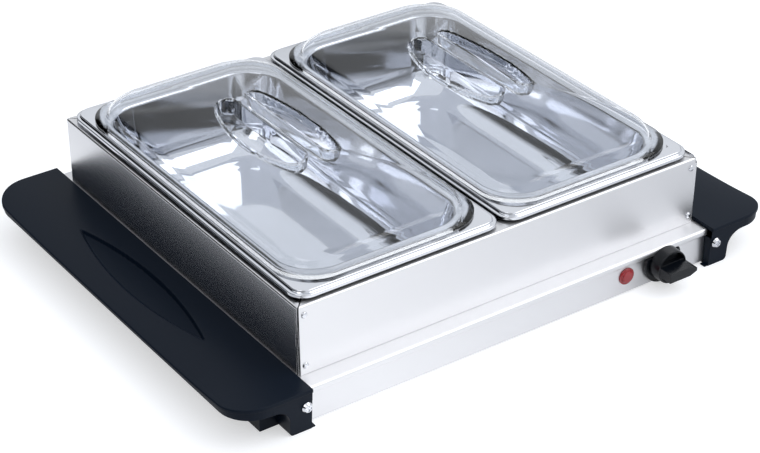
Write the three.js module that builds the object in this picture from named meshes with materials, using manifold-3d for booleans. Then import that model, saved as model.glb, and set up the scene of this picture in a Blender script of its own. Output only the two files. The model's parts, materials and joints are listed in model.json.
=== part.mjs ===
// Electric buffet warmer: a heated base on two side handles, a lift-off frame, two food pans and two clear lids.
// Millimetres, +Z up, +X to the right and +Y to the back as seen from the knob side.
// The model is built about the middle of the frame and then moved so that its box is centred on the origin.

import * as THREE from 'three';
import { mergeVertices } from 'three/addons/utils/BufferGeometryUtils.js';
import Module from 'manifold-3d';

const wasm = await Module();
wasm.setup();

// Driving dimensions

const sheet = 0.8; // folded stainless steel
const seat = 0.1; // between flat faces that rest on each other
const clearance = 0.3; // round a piece that passes through another
const overrun = 5; // how far a cutter reaches past what it cuts
const quarterTurn = Math.PI / 2;
const fullTurn = Math.PI * 2;
const meetingAngle = Math.PI / 12; // keeps two arcs that meet from sharing a point
const ringCorners = 4;
const facets = {
  nut: 6,
  shank: 10,
  stud: 12,
  dimple: 14,
  round: 16,
  lens: 20,
  bushing: 24,
  dial: 32,
  curve: 8, // of one bend in an outline
  fold: 3, // of one fold in a sheet
};

const frame = {
  width: 340, // over the side panels
  depth: 315, // over the front and rear panels
  height: 53.4, // above the warming plate
  bend: 1.6, // outer radius of every fold
  flange: 13, // top flange, inwards
  edgeReturn: 12, // side panel's return behind the front and rear panels
  edgeGap: 1.5, // front panel's end, from the corner
  mitreGap: 0.9,
  barWidth: 24,
  barDepth: 9,
  barLip: 0.6,
};

const rivet = {
  inset: 5.5, // from the frame's side
  lowHeight: 7.2,
  highFromTop: 7.1,
  headRadius: 2.5,
  headHeight: 1.2,
  shankRadius: 1.5,
  tailRadius: 2.3,
  tailHeight: 0.8,
};

const base = {
  plateTop: 30, // warming plate above the table
  plateOverhang: 14.4, // plate past the frame, front and back
  lipHeight: 5.6,
  lipBend: 2.2,
  apronOverhang: 11.4, // apron face past the frame
  apronFoot: 1.2, // apron above the table
  topFlange: 9,
  bottomFlange: 14,
  apronBend: 1.4,
  sideGap: 1.8, // frame side to handle
  tabReach: 13, // apron tab inside the handle's leg
  tabLow: 12,
  tabHigh: 27,
};

const handle = {
  reach: 59.6, // outer edge past the frame's side
  overhang: 20.1, // ends past the frame's front and back
  top: 32.8,
  skin: 4.5, // plate's thickness over the hollow
  crownStart: 15, // outward from the frame's side, where the top starts to fall away
  crownDrop: 5.1, // fall at the middle of the outer edge
  crownFade: 5, // power by which the fall dies away towards the ends
  crownColumns: 6,
  crownRows: 16,
  skirtBottom: 23.5,
  skirtInset: 1.2,
  grooveInset: 0.9,
  grooveHeight: 30.2,
  edgeRadius: 1,
  wall: 2.5,
  innerWallFoot: 1.2,
  frontRadius: 25,
  rearRadius: 30,
  innerRadius: 1.5,
  legInset: 1, // leg's front face behind the plate's edge
  legWidth: 17,
  legDepth: 18.1,
  legDraft: 2,
  legCorner: 3,
  gussetRadius: 12,
  blockWidth: 30.1,
  blockDepth: 33,
  toeReach: 3,
  toeDepth: 5,
  toeHeight: 1,
  recessMiddle: 29.5, // recess centre, outward from the frame's side
  recessLength: 173,
  recessWidth: 23.5,
  recessShallow: 2.3,
  recessDeep: 3.2,
  recessSteps: 12,
  cornerSteps: 6,
};

const handleScrew = {
  outboard: 6.2, // from the frame's side
  height: 19.5,
  headRadius: 4,
  headHeight: 2.6,
  shankRadius: 1.7,
  shankLength: 12,
  crossWidth: 1.2,
  crossLength: 4.6,
  crossDepth: 1.4,
};

const cover = {
  insetY: 1.2,
  insetX: 0.6,
  dimpleRadius: 8,
  dimpleRise: 2,
  slotLength: 30,
  slotWidth: 4,
  slotPitch: 12,
  slotCount: 5,
  slotX: 60,
  spacerFromSide: 122,
  spacerFromEnd: 20.5,
  spacerRadius: 4,
  spacerBore: 1.8,
  spacerBoreDepth: 12,
  screwHeadRadius: 3.4,
  screwHeadHeight: 1.5,
  screwShankRadius: 1.5,
  screwShankLength: 10,
};

const heater = {
  width: 118,
  fromEnd: 62.5, // heater's end, from the frame's front and back
  thickness: 2.4,
  insulation: 3,
  studOffset: 55, // along Y from the zone's middle
  studRadius: 2,
  studLength: 11,
  nutRadius: 4,
  nutHeight: 3.2,
  terminalWidth: 6,
  terminalLength: 9,
  terminalPitch: 24,
  clampRim: 3,
};

const thermostat = {
  fromSide: 39.5,
  height: 17.5,
  width: 32,
  tall: 20,
  deep: 25,
  neckRadius: 4.5,
  neckLength: 2.6,
  boreDepth: 14,
  bladeWidth: 6,
  bladeThickness: 0.8,
  bladeLength: 8,
  bladePitch: 16,
};

const knob = {
  bezelRadius: 16.4,
  bezelThickness: 2.9,
  bezelBore: 6,
  rearRadius: 13.3,
  frontRadius: 12.8,
  edge: 0.8,
  bodyLength: 9.7,
  rimWall: 1.4,
  pocketDepth: 4.5,
  barLength: 11.5, // grip bar in front of the rim
  barHalfThickness: 3.7,
  barTail: 12,
  barShoulder: 6,
  barPoint: 13.1,
  shaftRadius: 3,
  shaftFlat: 2.2,
  boreDepth: 12,
};

const lamp = {
  fromDial: 32,
  height: 15.5,
  lensRadius: 6.5,
  lensRim: 1,
  domeHeight: 1.9,
  domeSteps: 3,
  barrelRadius: 5,
  barrelLength: 4,
  clipRadius: 8.5,
  clipThickness: 1,
  bodyRadius: 4.6,
  bodyLength: 18,
  pinWidth: 1.2,
  pinLength: 5,
};

const inlet = {
  fromSide: 55,
  height: 12.6,
  flangeRadius: 11,
  flangeThickness: 3,
  barrelRadius: 7.6,
  collarRadius: 9,
  collarThickness: 2.5,
  bore: 3.8,
};

const terminal = {
  fromSide: 40,
  setback: 34, // from the rear apron's face
  width: 36,
  deep: 16,
  tall: 13,
  wellRadius: 2.6,
  wellDepth: 4,
  pitch: 11,
};

const fuse = { x: 0, y: 45, radius: 2, length: 12, clipWidth: 5, clipWall: 0.8, clipFoot: 4 };
const earth = { x: 60, fromRear: 29.5, radius: 2, length: 9, nutRadius: 4, nutHeight: 3.2 };
const lead = { radius: 1.3, sides: 6, steps: 14, gap: 0.5, sag: 5, swing: 12, turn: 24, approach: 36, low: 9 };

const pan = {
  rimInset: 2.7, // rim's outer edge from the frame's outside
  rimGap: 2.4, // between the two rims
  rimAboveFrame: 6.2,
  rimEdge: 4.2, // from the flat rim down to the rim's lower edge
  stepOut: 2.8,
  stepDown: 1.9,
  rimRadius: 13,
  rimBend: 0.9,
  flatX: 12, // flat rim's width at the sides
  flatY: 17, // and at the ends
  openingRadius: 28,
  openingBend: 2.2,
  draft: 8, // wall's lean from the rim to the floor
  floorFillet: 14,
  cornerSteps: 5,
  filletSteps: 3,
};

const lid = {
  halfX: 78.5,
  halfY: 147.5,
  radius: 31,
  thickness: 2,
  wallInset: 5.5, // wall's foot from the flange's edge
  wallLean: 1.6,
  wallHeight: 6.4,
  wallRadius: 29,
  shoulder: 6.5, // bend from the wall to the dome
  shoulderTurn: 1.22,
  shoulderRadius: 36,
  crown: 34, // top of the dome above the rim
  crownRidge: 80, // length of the dome's highest line
  crownPower: 1.25,
  crownRound: 0.95, // corner radius share of the half width at the top
  crownTip: 0.04,
  crownSteps: 6,
  shoulderSteps: 3,
  gripLength: 104,
  gripWidth: 20,
  gripCorner: 6,
  gripBar: 15,
  gripDepth: 12,
  gripSteps: 5,
};

// Places that follow from the dimensions

const halfWidth = frame.width / 2;
const halfDepth = frame.depth / 2;
const plateUnder = base.plateTop - sheet;
const apronFace = halfDepth + base.apronOverhang;
const plateEdge = halfDepth + base.plateOverhang;
const plateHalfWidth = halfWidth + base.sideGap - clearance;
const handleInner = halfWidth + base.sideGap;
const handleOuter = halfWidth + handle.reach;
const handleEnd = halfDepth + handle.overhang;
const legFace = handleEnd - handle.legInset;
const legTop = handle.top - handle.wall;
const lipBottom = base.plateTop - base.lipHeight;
const coverBottom = base.apronFoot + sheet + seat;
const coverTop = coverBottom + sheet;
const dimpleFloor = coverBottom + cover.dimpleRise;
const frameFoot = base.plateTop + seat;
const frameTop = base.plateTop + frame.height;
const panX = (pan.rimGap / 2 + halfWidth - pan.rimInset) / 2;
const dialX = halfWidth - thermostat.fromSide;
const lampX = dialX - lamp.fromDial;
const inletX = halfWidth - inlet.fromSide;
const terminalX = halfWidth - terminal.fromSide;
const spacerX = halfWidth - cover.spacerFromSide;
const spacerY = halfDepth - cover.spacerFromEnd;
const earthY = halfDepth - earth.fromRear;
const rimTop = frameTop + pan.rimAboveFrame;
const rivetHigh = frame.height - rivet.highFromTop;
const lidFoot = rimTop + seat;
const knobBack = apronFace + knob.bezelThickness + seat + clearance;
const knobFront = knobBack + knob.bodyLength;
const gripEnd = knobFront + knob.barLength;
const heaterTop = plateUnder - seat;
const heaterBottom = heaterTop - heater.thickness;
const insulationTop = heaterBottom - seat;
const insulationBottom = insulationTop - heater.insulation;
const clampTop = insulationBottom - seat;
const clampBottom = clampTop - sheet;
const heaterEnd = halfDepth - heater.fromEnd;
const heaterTabEnd = -heaterEnd - heater.terminalLength;
const bladeEnd = -apronFace + sheet + seat + thermostat.deep + thermostat.bladeLength;
const lampStart = -apronFace + lamp.barrelLength;
const lampPinEnd = lampStart + lamp.bodyLength + lamp.pinLength;
const fuseHeight = heaterTop - fuse.clipWall - fuse.radius - clearance;

// Materials

function finish(color, roughness, metalness) {
  return new THREE.MeshStandardMaterial({ color, roughness, metalness });
}

const brushedSteel = finish('#b9bbbf', 0.32, 1);
const polishedSteel = finish('#c9ccd2', 0.14, 1);
const zincSteel = finish('#9b9da0', 0.45, 1);
const blackPlastic = finish('#1c1e23', 0.42, 0);
const clearPlastic = new THREE.MeshStandardMaterial({
  color: '#dfe6ee',
  roughness: 0.05,
  metalness: 0,
  transparent: true,
  opacity: 0.35,
});
const redLens = finish('#a3262c', 0.2, 0);
const micaBoard = finish('#b5a98c', 0.8, 0);
const woolPad = finish('#d8d4c8', 0.95, 0);
const ceramic = finish('#e6e1d6', 0.6, 0);
const redLead = finish('#8c3b34', 0.6, 0);

// Solids: closed geometries in, joined or cut solids out

function solid(geometry) {
  const bare = geometry.clone();
  bare.deleteAttribute('normal');
  bare.deleteAttribute('uv');
  const welded = mergeVertices(bare);
  const corners = welded.index.array;
  const triangles = [];
  for (let i = 0; i < corners.length; i += 3) {
    const [a, b, c] = [corners[i], corners[i + 1], corners[i + 2]];
    if (a !== b && b !== c && c !== a) triangles.push(a, b, c);
  }
  return new wasm.Manifold(new wasm.Mesh({
    numProp: 3,
    vertProperties: new Float32Array(welded.attributes.position.array),
    triVerts: new Uint32Array(triangles),
  }));
}

function geometryOf(body) {
  const mesh = body.getMesh();
  const geometry = new THREE.BufferGeometry();
  geometry.setAttribute('position', new THREE.BufferAttribute(new Float32Array(mesh.vertProperties), 3));
  geometry.setIndex(new THREE.BufferAttribute(new Uint32Array(mesh.triVerts), 1));
  geometry.computeVertexNormals();
  return geometry;
}

function join(...bodies) {
  return bodies.reduce((whole, next) => whole.add(next));
}

function cut(body, ...tools) {
  return tools.reduce((rest, tool) => rest.subtract(tool), body);
}

function block([x0, x1], [y0, y1], [z0, z1]) {
  const geometry = new THREE.BoxGeometry(x1 - x0, y1 - y0, z1 - z0);
  geometry.translate((x0 + x1) / 2, (y0 + y1) / 2, (z0 + z1) / 2);
  return solid(geometry);
}

function outline(points) {
  return new THREE.Shape(points.map(([u, v]) => new THREE.Vector2(u, v)));
}

function extruded(shape, length, curveSegments = facets.curve) {
  return new THREE.ExtrudeGeometry(shape, { depth: length, bevelEnabled: false, curveSegments });
}

// A section in X and Y, from z0 up to z1
function alongZ(shape, [z0, z1]) {
  const geometry = extruded(shape, z1 - z0);
  geometry.translate(0, 0, z0);
  return solid(geometry);
}

// A section in Y and Z, from x0 to x1
function alongX(shape, [x0, x1]) {
  const geometry = extruded(shape, x1 - x0);
  geometry.applyMatrix4(new THREE.Matrix4().set(0, 0, 1, x0, 1, 0, 0, 0, 0, 1, 0, 0, 0, 0, 0, 1));
  return solid(geometry);
}

// A section in X and Z, from y0 to y1
function alongY(shape, [y0, y1]) {
  const geometry = extruded(shape, y1 - y0);
  geometry.applyMatrix4(new THREE.Matrix4().set(1, 0, 0, 0, 0, 0, -1, y1, 0, 1, 0, 0, 0, 0, 0, 1));
  return solid(geometry);
}

// A round solid: [radius, height] pairs turned about an axis through a point
function turned(profile, direction, [x, y, z], segments = facets.round) {
  const points = profile.map(([radius, height]) => new THREE.Vector2(radius, height));
  const geometry = new THREE.LatheGeometry(points, segments);
  geometry.applyQuaternion(new THREE.Quaternion().setFromUnitVectors(new THREE.Vector3(0, 1, 0), direction));
  geometry.translate(x, y, z);
  return solid(geometry);
}

const up = new THREE.Vector3(0, 0, 1);
const down = new THREE.Vector3(0, 0, -1);
const front = new THREE.Vector3(0, -1, 0);
const back = new THREE.Vector3(0, 1, 0);

function rod(radius, length, direction, place, segments = facets.round) {
  return turned([[0, 0], [radius, 0], [radius, length], [0, length]], direction, place, segments);
}

// A screw or rivet: a domed head in front of the place, a shank behind it
function domed(radius, height, steps = 2) {
  const points = [[0, 0], [radius, 0]];
  for (let i = 1; i <= steps; i += 1) {
    const angle = (quarterTurn * i) / steps;
    points.push([i === steps ? 0 : radius * Math.cos(angle), height * Math.sin(angle)]);
  }
  return points;
}

// A folded sheet's section: the line of its outer face, and the same line one sheet thickness to its left
function foldedSection(corners, radius, steps = facets.fold) {
  const outer = [];
  const inner = [];
  const heading = (from, to) => {
    const length = Math.hypot(to[0] - from[0], to[1] - from[1]);
    return [(to[0] - from[0]) / length, (to[1] - from[1]) / length];
  };
  const put = ([u, v], [du, dv]) => {
    outer.push([u, v]);
    inner.push([u - dv * sheet, v + du * sheet]);
  };
  corners.forEach((corner, i) => {
    if (i === 0) return put(corner, heading(corner, corners[1]));
    if (i === corners.length - 1) return put(corner, heading(corners[i - 1], corner));
    const before = heading(corners[i - 1], corner);
    const after = heading(corner, corners[i + 1]);
    const turn = Math.atan2(before[0] * after[1] - before[1] * after[0], before[0] * after[0] + before[1] * after[1]);
    const side = Math.sign(turn);
    const bend = side > 0 ? radius : radius - sheet;
    const run = bend * Math.tan(Math.abs(turn) / 2);
    const centre = [
      corner[0] - before[0] * run - before[1] * bend * side,
      corner[1] - before[1] * run + before[0] * bend * side,
    ];
    for (let k = 0; k <= steps; k += 1) {
      const angle = Math.atan2(before[1], before[0]) + (turn * k) / steps;
      const along = [Math.cos(angle), Math.sin(angle)];
      put([centre[0] + along[1] * bend * side, centre[1] - along[0] * bend * side], along);
    }
    return undefined;
  });
  return outline([...outer, ...inner.reverse()]);
}

// A closed body from a stack of rounded rectangles, each with its own sides, corner radii and height
function stacked(rings, steps) {
  const count = ringCorners * (steps + 1);
  const positions = [];
  rings.forEach(({ x: [x0, x1], y: [y0, y1], radii, z }) => {
    const corners = [
      [x1, y1, -1, -1],
      [x0, y1, 1, -1],
      [x0, y0, 1, 1],
      [x1, y0, -1, 1],
    ];
    corners.forEach(([cornerX, cornerY, sideX, sideY], k) => {
      for (let j = 0; j <= steps; j += 1) {
        const angle = quarterTurn * (k + j / steps);
        const radius = radii[k];
        positions.push(
          cornerX + sideX * radius + radius * Math.cos(angle),
          cornerY + sideY * radius + radius * Math.sin(angle),
          z,
        );
      }
    });
  });
  const first = rings[0];
  const last = rings[rings.length - 1];
  for (const { x, y, z } of [first, last]) positions.push((x[0] + x[1]) / 2, (y[0] + y[1]) / 2, z);
  const firstMiddle = rings.length * count;
  const lastMiddle = firstMiddle + 1;
  const triangles = [];
  const lastStart = (rings.length - 1) * count;
  for (let j = 0; j < count; j += 1) {
    const next = (j + 1) % count;
    for (let i = 0; i < rings.length - 1; i += 1) {
      const low = i * count;
      const high = low + count;
      triangles.push(low + j, low + next, high + next, low + j, high + next, high + j);
    }
    triangles.push(firstMiddle, next, j, lastMiddle, lastStart + j, lastStart + next);
  }
  const geometry = new THREE.BufferGeometry();
  geometry.setAttribute('position', new THREE.BufferAttribute(new Float32Array(positions), 3));
  geometry.setIndex(triangles);
  return solid(geometry);
}

function centredRing(centreX, halfX, halfY, radius, z) {
  return { x: [centreX - halfX, centreX + halfX], y: [-halfY, halfY], radii: [radius, radius, radius, radius], z };
}

function named(name, body, material, group) {
  const mesh = new THREE.Mesh(geometryOf(body), material);
  mesh.name = name;
  group.add(mesh);
}

function mirrored(body, axis) {
  const flip = axis === 'x' ? [-1, 1] : [1, -1];
  const geometry = geometryOf(body).clone();
  geometry.scale(flip[0], flip[1], 1);
  const order = geometry.index.array;
  for (let i = 0; i < order.length; i += 3) [order[i], order[i + 1]] = [order[i + 1], order[i]];
  return solid(geometry);
}

const sides = [['left', -1], ['right', 1]];
const ends = [['front', -1], ['rear', 1]];

// Warming plate: one sheet with a rolled lip at the front and at the back

function warmingPlate() {
  const hem = apronFace + clearance;
  const section = foldedSection([
    [hem, lipBottom],
    [plateEdge, lipBottom],
    [plateEdge, base.plateTop],
    [-plateEdge, base.plateTop],
    [-plateEdge, lipBottom],
    [-hem, lipBottom],
  ], base.lipBend);
  return alongX(section, [-plateHalfWidth, plateHalfWidth]);
}

// Aprons: folded channels under the plate, with end tabs that the handle screws grip

function apron() {
  const section = foldedSection([
    [-apronFace + base.topFlange, plateUnder - seat],
    [-apronFace, plateUnder - seat],
    [-apronFace, base.apronFoot],
    [-apronFace + base.bottomFlange, base.apronFoot],
  ], base.apronBend);
  const channel = alongX(section, [-plateHalfWidth, plateHalfWidth]);
  const tabEnd = plateHalfWidth + base.tabReach;
  const tabs = block([-tabEnd, tabEnd], [-apronFace, -apronFace + sheet], [base.tabLow, base.tabHigh]);
  const holes = sides.map(([, side]) => rod(
    handleScrew.shankRadius + clearance,
    overrun + overrun,
    back,
    [side * (halfWidth + handleScrew.outboard), -apronFace - overrun, handleScrew.height],
  ));
  return cut(join(channel, tabs), ...holes);
}

function frontApron() {
  const start = -apronFace - overrun;
  const length = overrun + overrun;
  return cut(
    apron(),
    rod(thermostat.neckRadius + clearance, length, back, [dialX, start, thermostat.height]),
    rod(lamp.barrelRadius + clearance, length, back, [lampX, start, lamp.height]),
  );
}

function rearApron() {
  const hole = rod(
    inlet.barrelRadius + clearance,
    overrun + overrun,
    back,
    [inletX, apronFace - overrun, inlet.height],
  );
  return cut(mirrored(apron(), 'y'), hole);
}

// Bottom cover: a vented sheet on the aprons' flanges, held by four screws in raised dimples

const spacerPlaces = [];
for (const [end, alongSign] of ends) {
  for (const [side, sideSign] of sides) {
    spacerPlaces.push([`${end}_${side}`, sideSign * spacerX, alongSign * spacerY]);
  }
}

function bottomCover() {
  const edgeX = plateHalfWidth - cover.insetX;
  const edgeY = apronFace - sheet - cover.insetY;
  let body = block([-edgeX, edgeX], [-edgeY, edgeY], [coverBottom, coverTop]);
  for (const [, x, y] of spacerPlaces) {
    const start = [x, y, coverBottom - overrun];
    body = join(body, rod(cover.dimpleRadius, cover.dimpleRise + sheet, up, [x, y, coverBottom], facets.dimple));
    body = cut(
      body,
      rod(cover.dimpleRadius - sheet, cover.dimpleRise + overrun, up, start, facets.dimple),
      rod(cover.screwShankRadius + clearance, overrun + overrun, up, [x, y, coverBottom], facets.stud),
    );
  }
  for (const [, side] of sides) {
    for (let i = 0; i < cover.slotCount; i += 1) {
      const y = (i - (cover.slotCount - 1) / 2) * cover.slotPitch;
      const x = side * cover.slotX;
      body = cut(body, block(
        [x - cover.slotLength / 2, x + cover.slotLength / 2],
        [y - cover.slotWidth / 2, y + cover.slotWidth / 2],
        [coverBottom - overrun, coverTop + overrun],
      ));
    }
  }
  return body;
}

function coverSpacer(x, y) {
  const foot = dimpleFloor + sheet + seat;
  return cut(
    rod(cover.spacerRadius, heaterTop - foot, up, [x, y, foot]),
    rod(cover.spacerBore, cover.spacerBoreDepth + overrun, up, [x, y, foot - overrun]),
  );
}

function coverScrew(x, y) {
  const seatHeight = dimpleFloor - seat;
  return join(
    turned(domed(cover.screwHeadRadius, cover.screwHeadHeight), down, [x, y, seatHeight], facets.stud),
    rod(cover.screwShankRadius, cover.screwShankLength + sheet, up, [x, y, seatHeight - sheet / 2], facets.shank),
  );
}

// Side handle: a moulded plate with a skirt, a thumb recess and a bracket leg at each end

function handleRing(inset, z, innerInset = 0) {
  const { innerRadius, frontRadius, rearRadius } = handle;
  return {
    x: [handleInner + innerInset, handleOuter - inset],
    y: [-handleEnd + inset, handleEnd - inset],
    radii: [rearRadius - inset, innerRadius, innerRadius, frontRadius - inset],
    z,
  };
}

function handlePlate() {
  const { edgeRadius, grooveInset, grooveHeight, skirtInset, skirtBottom, top } = handle;
  const rings = [
    handleRing(skirtInset, skirtBottom),
    handleRing(grooveInset, grooveHeight),
    handleRing(0, grooveHeight),
    handleRing(0, top - edgeRadius),
    handleRing(edgeRadius * (1 - Math.SQRT1_2), top - edgeRadius * (1 - Math.SQRT1_2)),
    handleRing(edgeRadius, top),
  ];
  return stacked(rings, handle.cornerSteps);
}

// What lies above the plate's crowned top, or above the same surface moved down
function aboveCrown(depth) {
  const { top, crownStart, crownDrop, crownFade, crownColumns, crownRows } = handle;
  const start = halfWidth + crownStart;
  const outX = handleOuter + overrun;
  const outY = handleEnd + overrun;
  const columns = [handleInner - overrun];
  for (let i = 0; i <= crownColumns; i += 1) columns.push(start + ((outX - start) * i) / crownColumns);
  const rows = [];
  for (let i = 0; i <= crownRows; i += 1) rows.push(-outY * Math.cos((Math.PI * i) / crownRows));
  const ceiling = top + overrun;
  const positions = [];
  for (const y of rows) {
    for (const x of columns) {
      const across = Math.max((x - start) / (handleOuter - start), 0);
      const along = Math.max(1 - Math.abs(y / handleEnd) ** crownFade, 0);
      positions.push(x, y, top - depth - crownDrop * across * across * along, x, y, ceiling);
    }
  }
  const at = (row, column, level) => 2 * (row * columns.length + column) + level;
  const triangles = [];
  const quad = (p, q, r, t) => triangles.push(p, q, r, p, r, t);
  const lastColumn = columns.length - 1;
  for (let i = 0; i < crownRows; i += 1) {
    for (let j = 0; j < lastColumn; j += 1) {
      quad(at(i, j, 0), at(i + 1, j, 0), at(i + 1, j + 1, 0), at(i, j + 1, 0));
      quad(at(i, j, 1), at(i, j + 1, 1), at(i + 1, j + 1, 1), at(i + 1, j, 1));
    }
    quad(at(i, 0, 0), at(i, 0, 1), at(i + 1, 0, 1), at(i + 1, 0, 0));
    quad(at(i, lastColumn, 0), at(i + 1, lastColumn, 0), at(i + 1, lastColumn, 1), at(i, lastColumn, 1));
  }
  for (let j = 0; j < lastColumn; j += 1) {
    quad(at(0, j, 0), at(0, j + 1, 0), at(0, j + 1, 1), at(0, j, 1));
    quad(at(crownRows, j, 0), at(crownRows, j, 1), at(crownRows, j + 1, 1), at(crownRows, j + 1, 0));
  }
  const geometry = new THREE.BufferGeometry();
  geometry.setAttribute('position', new THREE.BufferAttribute(new Float32Array(positions), 3));
  geometry.setIndex(triangles);
  return solid(geometry);
}

function handleCavity() {
  const { wall, skin, skirtInset, skirtBottom, cornerSteps, top } = handle;
  const inset = skirtInset + wall;
  const rings = [handleRing(inset, skirtBottom - overrun, wall), handleRing(inset, top, wall)];
  return cut(stacked(rings, cornerSteps), aboveCrown(skin));
}

// The leg's outline seen from the front: straight at the base's side, a curved gusset outside
function legSection() {
  const { legWidth, legCorner, gussetRadius, skirtBottom } = handle;
  const outer = handleInner + legWidth;
  const gussetFoot = skirtBottom - gussetRadius;
  const shape = new THREE.Shape();
  shape.moveTo(handleInner, 0);
  shape.lineTo(outer - legCorner, 0);
  shape.absarc(outer - legCorner, legCorner, legCorner, -quarterTurn, 0, false);
  shape.lineTo(outer, gussetFoot);
  shape.absarc(outer + gussetRadius, gussetFoot, gussetRadius, Math.PI, quarterTurn, true);
  shape.lineTo(outer + gussetRadius, legTop);
  shape.lineTo(handleInner, legTop);
  return shape;
}

function frontLeg() {
  const { legDepth, legDraft, blockWidth, blockDepth, wall, skirtBottom, innerWallFoot } = handle;
  const legBack = -legFace + legDepth;
  const blockBack = legBack + blockDepth;
  const draftCut = alongX(outline([
    [-legFace, skirtBottom],
    [-legFace - overrun, skirtBottom],
    [-legFace - overrun, -overrun],
    [-legFace + legDraft, -overrun],
    [-legFace + legDraft, 0],
  ]), [handleInner - overrun, handleOuter]);
  const leg = cut(alongY(legSection(), [-legFace, legBack]), draftCut);
  const box = cut(
    block([handleInner, handleInner + blockWidth], [legBack, blockBack], [0, legTop]),
    block(
      [handleInner + wall, handleInner + blockWidth - wall],
      [legBack + wall, blockBack - wall],
      [-overrun, legTop - wall],
    ),
  );
  const innerWall = block([handleInner, handleInner + wall], [legBack, 0], [innerWallFoot, legTop]);
  return join(leg, box, innerWall);
}

function handleRecess() {
  const { recessLength, recessWidth, recessMiddle, recessShallow, recessDeep, recessSteps, top } = handle;
  const middle = halfWidth + recessMiddle;
  const halfLength = recessLength / 2;
  const halfWide = recessWidth / 2;
  const radius = (halfLength * halfLength + halfWide * halfWide) / recessWidth;
  const sweep = Math.asin(halfLength / radius);
  const points = [];
  for (const side of [1, -1]) {
    for (let i = 0; i < recessSteps; i += 1) {
      const angle = -sweep + (2 * sweep * i) / recessSteps;
      points.push([
        middle + side * (radius * Math.cos(angle) - radius + halfWide),
        side * radius * Math.sin(angle),
      ]);
    }
  }
  const lens = alongZ(outline(points), [top - recessDeep - overrun, top + overrun]);
  const wedge = alongY(outline([
    [middle - halfWide, top - recessDeep],
    [middle + halfWide, top - recessShallow],
    [middle + halfWide, top + overrun],
    [middle - halfWide, top + overrun],
  ]), [-halfLength, halfLength]);
  return lens.intersect(wedge);
}

function sideHandle() {
  const screwPath = rod(
    handleScrew.shankRadius + clearance,
    handle.legDepth,
    back,
    [halfWidth + handleScrew.outboard, -legFace - overrun, handleScrew.height],
  );
  const slot = block(
    [handleInner - overrun, plateHalfWidth + base.tabReach + clearance],
    [-apronFace - clearance, -apronFace + sheet + clearance],
    [base.tabLow - clearance, base.tabHigh + clearance],
  );
  const fittings = join(screwPath, slot);
  const leg = frontLeg();
  const shell = cut(handlePlate(), aboveCrown(0), handleCavity());
  const whole = cut(join(shell, leg, mirrored(leg, 'y')), fittings, mirrored(fittings, 'y'), handleRecess());
  const toe = block(
    [handleInner - handle.toeReach, handleInner + overrun],
    [-apronFace - clearance - handle.toeDepth, -apronFace - clearance],
    [0, handle.toeHeight],
  );
  return join(whole, toe);
}

function handleScrewBody() {
  const { outboard, height, headRadius, headHeight, shankRadius, shankLength } = handleScrew;
  const { crossWidth, crossLength, crossDepth } = handleScrew;
  const x = halfWidth + outboard;
  const y = -legFace - seat;
  const head = turned(domed(headRadius, headHeight), front, [x, y, height]);
  const shank = rod(shankRadius, shankLength + sheet, back, [x, y - sheet, height]);
  const deep = [y - headHeight - overrun, y - headHeight + crossDepth];
  const wide = [-crossLength / 2, crossLength / 2];
  const thin = [-crossWidth / 2, crossWidth / 2];
  const shift = ([low, high], by) => [low + by, high + by];
  return cut(
    join(head, shank),
    block(shift(wide, x), deep, shift(thin, height)),
    block(shift(thin, x), deep, shift(wide, height)),
  );
}

// Heating zones: a flat heater, an insulation pad and a clamp plate on two studs under the warming plate

function studHoles(x, low, high) {
  return ends.map(([, end]) => rod(
    heater.studRadius + clearance,
    high - low + overrun + overrun,
    up,
    [x, end * heater.studOffset, low - overrun],
  ));
}

function heaterPlate(x) {
  const { width, terminalWidth, terminalPitch } = heater;
  const body = block([x - width / 2, x + width / 2], [-heaterEnd, heaterEnd], [heaterBottom, heaterTop]);
  const terminals = sides.map(([, side]) => {
    const middle = x + (side * terminalPitch) / 2;
    return block(
      [middle - terminalWidth / 2, middle + terminalWidth / 2],
      [heaterTabEnd, -heaterEnd],
      [heaterBottom, heaterBottom + sheet],
    );
  });
  return cut(join(body, ...terminals), ...studHoles(x, heaterBottom, heaterTop));
}

function insulationPad(x) {
  const { width } = heater;
  const body = block([x - width / 2, x + width / 2], [-heaterEnd, heaterEnd], [insulationBottom, insulationTop]);
  return cut(body, ...studHoles(x, insulationBottom, insulationTop));
}

function clampPlate(x) {
  const { width, clampRim } = heater;
  const section = foldedSection([
    [x - width / 2, clampTop - clampRim],
    [x - width / 2, clampTop],
    [x + width / 2, clampTop],
    [x + width / 2, clampTop - clampRim],
  ].reverse(), frame.bend);
  return cut(alongY(section, [-heaterEnd, heaterEnd]), ...studHoles(x, clampBottom, clampTop));
}

function clampStud(x, y) {
  const nutTop = clampBottom - seat;
  return join(
    rod(heater.studRadius, heater.studLength, down, [x, y, heaterTop], facets.stud),
    rod(heater.nutRadius, heater.nutHeight, down, [x, y, nutTop], facets.nut),
  );
}

// Controls

function thermostatBody() {
  const { height, width, tall, deep, neckRadius, neckLength, boreDepth } = thermostat;
  const { bladeWidth, bladeThickness, bladePitch } = thermostat;
  const face = -apronFace + sheet + seat;
  const rear = face + deep;
  const body = block([dialX - width / 2, dialX + width / 2], [face, rear], [height - tall / 2, height + tall / 2]);
  const neck = rod(neckRadius, neckLength + sheet, front, [dialX, face + sheet, height]);
  const blades = sides.map(([, side]) => {
    const middle = dialX + (side * bladePitch) / 2;
    return block(
      [middle - bladeWidth / 2, middle + bladeWidth / 2],
      [rear - sheet, bladeEnd],
      [height - bladeThickness / 2, height + bladeThickness / 2],
    );
  });
  const bore = rod(knob.shaftRadius + clearance, boreDepth + overrun, front, [dialX, face + boreDepth, height]);
  return cut(join(body, neck, ...blades), bore);
}

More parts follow.
